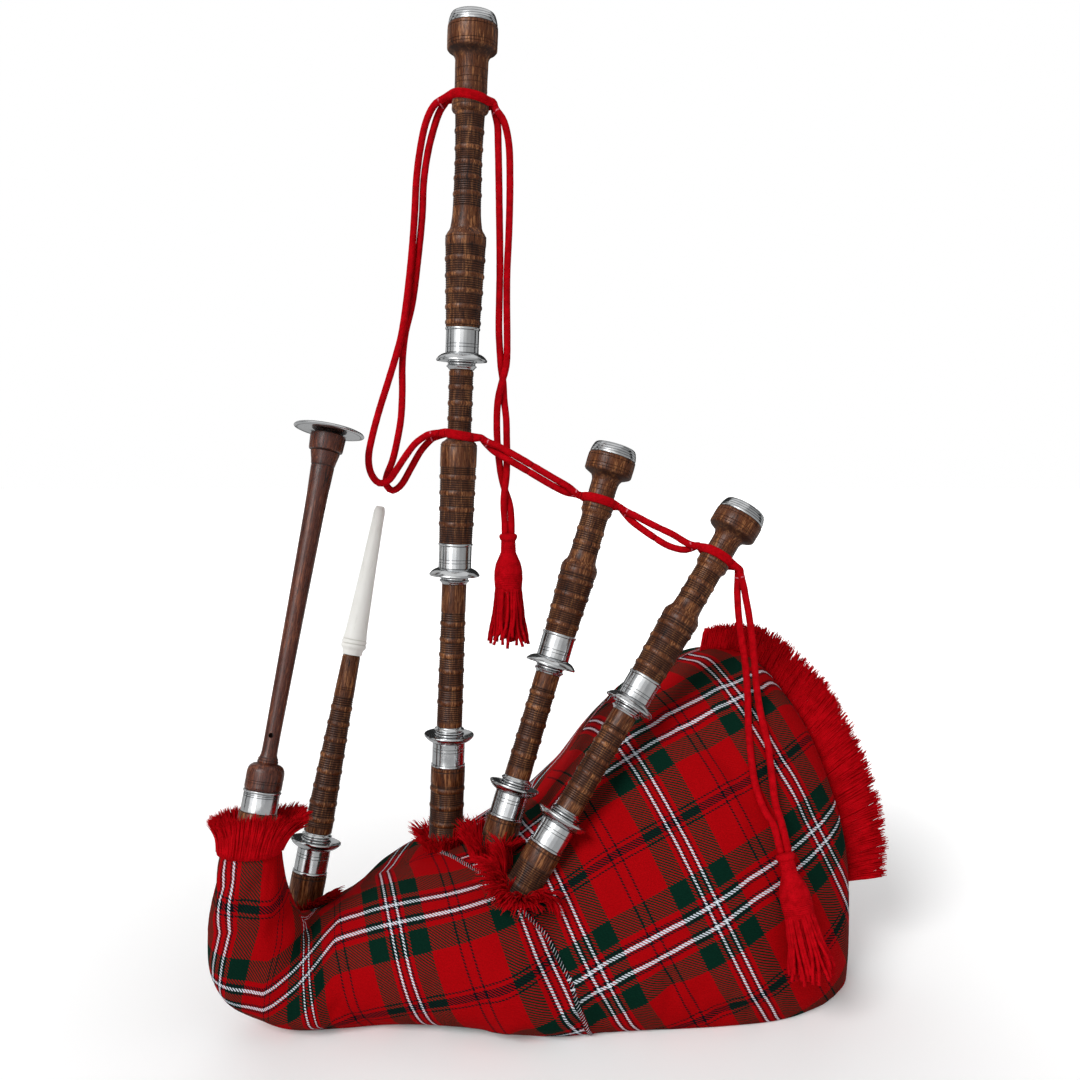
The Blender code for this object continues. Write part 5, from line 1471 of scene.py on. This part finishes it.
def free_share(grid, matrices):
    """0 where the cover is held by a stock, the floor, the cord or its own ends, and 1 well away from them."""
    count = len(grid)
    gaps = [(grid[:, :, 2] - 2.0) / 18.0]
    for matrix in matrices.values():
        base, along = np.array(matrix.translation) / MM, np.array(matrix.to_3x3() @ Vector((0.0, 0.0, 1.0)))
        offset = grid - base
        aside = offset - (offset @ along)[:, :, None] * along
        gaps.append((np.linalg.norm(aside, axis=2) - 24.0) / 30.0)
    for row in TENOR_DROP:
        gaps.append((np.linalg.norm(grid - np.array(row[0]), axis=2) - 14.0) / 22.0)
    for share in (0.0, 0.25, 0.5, 0.75, 1.0):
        spot = np.array(TASSEL_TOPS[1]) * (1 - share) + np.array(TASSEL_AIMS[1]) * share
        gaps.append((np.linalg.norm(grid - spot, axis=2) - 24.0) / 22.0)
    rise = np.arange(count)[:, None]
    gaps.append(np.broadcast_to(np.minimum(rise / 10.0, (count - 1 - rise) / 6.0), grid.shape[:2]))
    share = np.clip(np.min(gaps, axis=0), 0.0, 1.0)
    return share * share * (3 - 2 * share)


def blurred(table, reach):
    """Means over neighbours, round the bag and along it."""
    for _ in range(reach):
        table = (np.roll(table, 1, 1) + 2 * table + np.roll(table, -1, 1)) / 4
        padded = np.vstack((table[:1], table, table[-1:]))
        table = (padded[:-2] + 2 * table + padded[2:]) / 4
    return table


def slack_cloth(grid, out, free):
    """How far a slightly slack cover moves out when it is blown up between the places where it is held."""
    count, sides = grid.shape[:2]
    picked = sorted({*range(0, count, 3), count - 1})
    coarse = grid[picked][:, ::2]
    draft = bag_mesh("cover_draft", coarse, True)
    held = draft.vertex_groups.new(name="held")
    fixed = np.flatnonzero(free[picked][:, ::2].ravel() < 0.02)
    held.add([int(k) for k in fixed], 1.0, "REPLACE")
    cloth = draft.modifiers.new("Cloth", "CLOTH")
    settings = cloth.settings
    settings.quality = 6
    settings.vertex_group_mass = "held"
    settings.shrink_min = -CLOTH_SLACK
    settings.bending_stiffness = 0.3
    settings.use_pressure = True
    settings.uniform_pressure_force = 4.0
    settings.effector_weights.gravity = 0.0
    cloth.collision_settings.use_collision = False
    cloth.point_cache.frame_end = 20
    scene = bpy.context.scene
    for number in range(1, 21):
        scene.frame_set(number)
    moved = np.empty(len(draft.data.vertices) * 3)
    result = draft.evaluated_get(bpy.context.evaluated_depsgraph_get())
    result.data.vertices.foreach_get("co", moved)
    moves = ((moved.reshape(coarse.shape) / MM - coarse) * out[picked][:, ::2]).sum(2)
    scene.frame_set(1)
    bpy.data.objects.remove(draft)
    moves -= 0.8 * blurred(moves, 24)
    full = np.stack([np.interp(range(count), picked, moves[:, k]) for k in range(sides // 2)], 1)
    fine = np.empty((count, sides))
    fine[:, ::2] = full
    fine[:, 1::2] = (full + np.roll(full, -1, 1)) / 2
    fine = blurred(fine, 2)
    return CLOTH_CAP * np.tanh(fine / CLOTH_CAP)


def wrinkle(grid, rows, matrices):
    """Folds in the cloth: slack ones from a simulation, low broad ones, and gathers where the neck meets the body."""
    count, sides = grid.shape[:2]
    centre = grid.mean(axis=1, keepdims=True)
    out = grid - centre
    out /= np.linalg.norm(out, axis=2, keepdims=True) + 1e-9
    free = free_share(grid, matrices)
    lift = slack_cloth(grid, out, free)
    for i in range(count):
        gather = math.exp(-(((rows[i, 0] + 215.0) / 45.0) ** 2)) if rows[i, 2] < 120 else 0.0
        for k in range(sides):
            place = Vector(grid[i, k])
            broad = noise.noise(place / 70.0) * 4.2 + noise.noise(place / 28.0) * 1.5
            crease = noise.noise(Vector((place.x / 26.0, place.y / 90.0, place.z / 90.0))) * 5.0 * gather
            lift[i, k] += broad + crease
    return grid + out * (lift * free)[:, :, None]


def make_bag(matrices):
    rows, grid = bag_grid(COVER_SIDES, COVER_SPACING, 0.0, 0.0)
    flat = flat_places(rows, grid)
    places = thread_places(flat)
    shaped = wrinkle(grid, rows, matrices)
    cover = bag_mesh("bag_cover_cloth", shaped)
    attribute = cover.data.attributes.new("cloth", "FLOAT_VECTOR", "POINT")
    attribute.data.foreach_set("vector", (places * MM).astype(np.float32).ravel())
    skin = cover.modifiers.new("Wall", "SOLIDIFY")
    skin.thickness = COVER_WALL * MM
    skin.offset = -1.0
    bpy.context.view_layer.update()
    made = bpy.data.meshes.new_from_object(cover.evaluated_get(bpy.context.evaluated_depsgraph_get()))
    cover.modifiers.clear()
    cover.data = made
    dress(cover, TARTAN, "tartan_cloth", "root", "bag_cover")
    _, inner = bag_grid(48, 8.0, -8.0, COVER_WALL + 1.0)
    hide = bag_mesh("inner_bag_hide", inner[:-2], True)
    dress(hide, HIDE, "bag_hide", "root", "inner_bag")
    make_hem(flat, shaped)
    return rows, shaped, cover


def flame_yarns(rng, tufts, up, count, width, loose=1.0):
    """Soft tufts that rise and spread. Each has its root, its way out, its length and how far it leans.

    loose is how far the yarns stray from each other, 0 for an even ruff.
    """
    paths = []
    for root, out, length, lean in tufts:
        side = up.cross(out).normalized()
        tip_lean = lean * (1 + loose * rng.uniform(-0.3, 0.3))
        tip_turn = loose * rng.uniform(-0.5, 0.5)
        tall = length * (1 - loose * rng.uniform(-0.12, 0.25))
        for _ in range(count):
            start = root + side * rng.uniform(-width, width) + out * rng.uniform(-1.0, 1.5)
            reach = tall * (1 - loose * rng.uniform(-0.06, 0.28))
            way = (out + side * (tip_turn + loose * rng.uniform(-0.35, 0.35))).normalized()
            tilt = tip_lean + loose * rng.uniform(-0.16, 0.16)
            curl, phase = loose * rng.uniform(-2.2, 2.2), rng.uniform(2.0, 4.5)
            place = start.copy()
            path = [place * MM]
            for k in range(8):
                lean_here = tilt * (0.25 + 0.75 * k / 7)
                step = up * math.cos(lean_here) + way * math.sin(lean_here)
                place = place + step * (reach / 8) + side * (curl * math.cos(phase * k / 7) / 8)
                path.append(place * MM)
            paths.append(path)
    return paths


FRILL_YARN = np.array((0.62, 0.75, 0.78, 0.76, 0.72, 0.66, 0.56, 0.42, 0.16)) * MM
# Frills: the lowest and highest station of their root, tufts in a ring, then at the right, back, left and front
# the yarns' length and their lean in radians
FRILLS = {
    "bass": (-142.0, -104.0, 26, ((26.0, 0.6), (26.0, 0.5), (36.0, 1.1), (24.0, 0.8))),
    "tenor_1": (-104.0, -60.0, 30, ((14.0, 0.6), (22.0, 0.5), (46.0, 1.0), (38.0, 0.9))),
    "tenor_2": (-106.0, -78.0, 36, ((26.0, 1.7), (16.0, 0.5), (56.0, 1.9), (52.0, 2.1))),
    "blowpipe": (-94.0, -50.0, 30, ((38.0, 1.4), (26.0, 0.5), (44.0, 1.5), (30.0, 1.1))),
}


def make_frills(matrices, cover):
    """Ruffs of yarn that stand where the cover meets each stock."""
    tree = BVHTree.FromPolygons(
        [cover.matrix_world @ vertex.co for vertex in cover.data.vertices],
        [tuple(face.vertices) for face in cover.data.polygons],
    )
    for seed, (name, (low, high, count, sides)) in enumerate(FRILLS.items(), 1):
        rng = random.Random(seed)
        matrix = matrices[name]
        rotation = matrix.to_3x3()
        up = rotation @ Vector((0.0, 0.0, 1.0))
        tufts = []
        for layer in range(3):
            for k in range(count):
                angle = math.tau * (k + 0.33 * layer + rng.uniform(-0.3, 0.3)) / count
                out = rotation @ Vector((math.cos(angle), math.sin(angle), 0.0))
                foot = matrix.translation / MM + out * (18.9 + layer * 1.2)
                start = (foot + up * (high + 30.0)) * MM
                hit = tree.ray_cast(start, -up, (high + 30.0 - low) * MM)
                root = low if hit[0] is None else max(low, min(high, high + 30.0 - hit[3] / MM))
                turn = angle % math.tau / math.tau * 4
                length, lean = (np.interp(turn, range(5), [side[j] for side in (*sides, sides[0])]) for j in range(2))
                tufts.append((foot + up * (root - 3.0 + layer), out, length * (1 - 0.12 * layer), lean))
        paths = flame_yarns(rng, tufts, up, 10, 2.6)
        yarns(name + "_frill_yarn", paths, FRILL_YARN[None], FRINGE_WOOL, "root", [name + "_frill"], 4)


def make_neck_frill():
    rng = random.Random(11)
    middle, lean, half_height, half_depth, back = NECK_RINGS[0]
    ring = ring_points(middle, lean, half_height, half_depth, back, 72, 0.6, 0.0)
    joint = next(j for j in frame["joints"] if j["name"] == "chanter_turn")
    up = Vector(joint["axis"])
    tufts = []
    for layer in range(3):
        for point in ring:
            out = (Vector(point) - Vector(middle)).normalized()
            reach = 0.16 + 0.3 * max(0.0, noise.noise(Vector(point) / 14.0 + Vector((layer * 3.0, 0, 0))) + 0.3)
            reach += 0.6 * max(0.0, out.x) ** 2 + 0.42 * max(0.0, -out.x) ** 2
            length = 37.0 - 7.0 * out.y + 3.0 * out.x
            tufts.append((Vector(point) - up * (3.0 - layer) + out * layer, out, length, reach))
    paths = flame_yarns(rng, tufts, up, 9, 2.2, 0.4)
    yarns("chanter_frill_yarn", paths, FRILL_YARN[None], FRINGE_WOOL, "root", ["chanter_frill"], 4)


FRINGE_LENGTHS = (26.0, 40.0, 48.0, 50.0, 48.0, 40.0)


def make_fringe(rows, grid):
    """Straight cut yarns along the seam at the bag's end."""
    rng = random.Random(23)
    quarter = COVER_SIDES // 4
    first = int(np.argmin(np.abs(rows[:, 0] - 180.0) + (rows[:, 3] < 89.0) * 1000))
    seam = grid[first:, quarter]
    middle = np.array((seam[0][0] - 40.0, 0.0, BAG_END[2]))
    reach = np.concatenate(([0], np.cumsum(np.linalg.norm(np.diff(seam, axis=0), axis=1))))
    known = np.linspace(0, 1, len(FRINGE_LENGTHS))
    paths = []
    for _ in range(2600):
        share = rng.random() * 0.92
        place = np.array([np.interp(share * reach[-1], reach, seam[:, k]) for k in range(3)])
        out = place - middle
        out[1] = 0.0
        out /= np.linalg.norm(out)
        length = np.interp(share, known, FRINGE_LENGTHS) * rng.uniform(0.8, 1.05)
        drift = np.array((rng.uniform(-0.06, 0.06), rng.uniform(-0.08, 0.08), rng.uniform(-0.06, 0.06)))
        depth = rng.uniform(-2.0, 2.0)
        wave, phase = rng.uniform(0.2, 1.0), rng.uniform(0, math.tau)
        path = []
        for k in range(7):
            along = k / 6
            point = place + (out + drift * along) * (length * along - 2.0)
            point[1] += depth + wave * math.sin(phase + 5 * along)
            path.append(point * MM)
        paths.append(path)
    radii = np.array((0.7, 0.75, 0.75, 0.72, 0.66, 0.55, 0.4)) * MM
    yarns("end_fringe_yarn", paths, radii[None], FRINGE_WOOL, "root", ["end_fringe"], 4)


# ---- stage


def make_stage():
    scene = bpy.context.scene
    camera = bpy.data.objects.new("camera", bpy.data.cameras.new("camera"))
    scene.collection.objects.link(camera)
    camera.location = (0.0, -1.12, 0.61)
    camera.rotation_euler = (math.radians(82.5), 0.0, 0.0)
    camera.data.lens = 36.67
    camera.data.sensor_width = 36.0
    scene.camera = camera
    scene.view_settings.view_transform = "Standard"

    world = bpy.data.worlds.new("studio")
    scene.world = world
    world.use_nodes = True
    tree = world.node_tree
    back = tree.nodes["Background"]
    rays = tree.nodes.new("ShaderNodeLightPath")
    seen = rays.outputs["Is Camera Ray"]
    for name in ("Is Glossy Ray", "Is Transmission Ray"):
        add = tree.nodes.new("ShaderNodeMath")
        add.operation = "MAXIMUM"
        tree.links.new(seen, add.inputs[0])
        tree.links.new(rays.outputs[name], add.inputs[1])
        seen = add.outputs[0]
    strength = tree.nodes.new("ShaderNodeMapRange")
    strength.inputs[3].default_value = 0.34
    strength.inputs[4].default_value = 1.0
    tree.links.new(seen, strength.inputs[0])
    tree.links.new(strength.outputs[0], back.inputs["Strength"])
    back.inputs["Color"].default_value = (1.0, 1.0, 1.0, 1.0)

    for name, turn, power, size in (("key", (52, 0, -36), 2.0, 25), ("fill", (60, 0, 60), 0.3, 60), ("rear", (-50, 0, 20), 0.5, 60)):
        lamp = bpy.data.lights.new(name, "SUN")
        lamp.energy = power
        lamp.angle = math.radians(size)
        obj = bpy.data.objects.new(name, lamp)
        obj.rotation_euler = [math.radians(value) for value in turn]
        scene.collection.objects.link(obj)

    floor = new_object("floor", [(-6, -6, 0), (6, -6, 0), (6, 6, 0), (-6, 6, 0)], [(0, 1, 2, 3)])
    look = Look("pale_floor", 0.9)
    look.shader.inputs["Specular IOR Level"].default_value = 0.0
    look.colour((0.93, 0.93, 0.93, 1.0))
    coords = look.node("ShaderNodeTexCoord").outputs["Object"]
    reach = look.node("ShaderNodeVectorMath", {0: coords}, operation="LENGTH").outputs["Value"]
    rays = look.node("ShaderNodeLightPath").outputs
    seen = look.math("MAXIMUM", rays["Is Camera Ray"], rays["Is Glossy Ray"])
    seen = look.math("MAXIMUM", seen, rays["Is Transmission Ray"])
    look.shader.inputs["Emission Color"].default_value = (1.0, 1.0, 1.0, 1.0)
    glow = look.grey(reach, 0.3, 1.3, 0.12, 0.6)
    look.feed(look.shader.inputs["Emission Strength"], look.math("MULTIPLY", seen, glow))
    floor.data.materials.append(look.material)

    # Cards that only reflections show: from and to in degrees about the object, 0 facing the camera, and brightness
    cards = (
        (-180, -150, 0.03),
        (-150, -124, 0.5),
        (-124, -110, 0.01),
        (-110, -92, 0.5),
        (-92, -82, 0.01),
        (-84, -58, 0.42),
        (-56, -38, 1.1),
        (-38, -22, 2.7),
        (-22, 6, 1.0),
        (8, 30, 0.55),
        (30, 62, 0.36),
        (62, 98, 0.3),
        (98, 112, 0.01),
        (112, 140, 0.4),
        (140, 180, 0.02),
    )
    for number, (start, end, glow) in enumerate(cards, 1):
        points = []
        for degrees in np.linspace(start, end, 9):
            angle = math.radians(degrees)
            points += [(1.7 * math.sin(angle), -1.7 * math.cos(angle), height) for height in (0.0, 2.4)]
        faces = [(2 * k, 2 * k + 2, 2 * k + 3, 2 * k + 1) for k in range(8)]
        stage_card(new_object(f"card_{number}", points, faces), glow)
    for name, height, glow in (("low_card", 0.003, 0.42), ("high_card", 2.4, 0.7)):
        square = [(-2, -1.7, height), (2, -1.7, height), (2, 3, height), (-2, 3, height)]
        stage_card(new_object(name, square, [(0, 1, 2, 3)]), glow)


def stage_card(card, glow):
    look = Look(card.name + "_paint", 1.0)
    look.shader.inputs["Specular IOR Level"].default_value = 0.0
    look.colour((0.0, 0.0, 0.0, 1.0))
    look.shader.inputs["Emission Color"].default_value = (1.0, 1.0, 1.0, 1.0)
    look.shader.inputs["Emission Strength"].default_value = glow
    card.data.materials.append(look.material)
    card.visible_camera = False
    card.visible_diffuse = False
    card.visible_shadow = False
    card.visible_transmission = False


def finish_nodes():
    """Materials for the solids that stay as they are."""
    looks = {"blowpipe_valve": (RUBBER, "valve_rubber")}
    for name in ("bass_reed", "tenor_1_reed", "tenor_2_reed", "chanter_reed"):
        looks[name] = (CANE, "reed_cane")
    for name, (material, slot) in looks.items():
        node = frame["nodes"][name]
        node.data.materials.clear()
        node.data.materials.append(material)


make_stage()
pipes = {"bass": make_bass(), "tenor_1": make_tenor("tenor_1"), "tenor_2": make_tenor("tenor_2")}
make_chanter()
pipes["blowpipe"] = make_blowpipe()
make_cord(pipes)
cover_rows, cover_grid, cover = make_bag(pipes)
make_frills(pipes, cover)
make_neck_frill()
make_fringe(cover_rows, cover_grid)
finish_nodes()
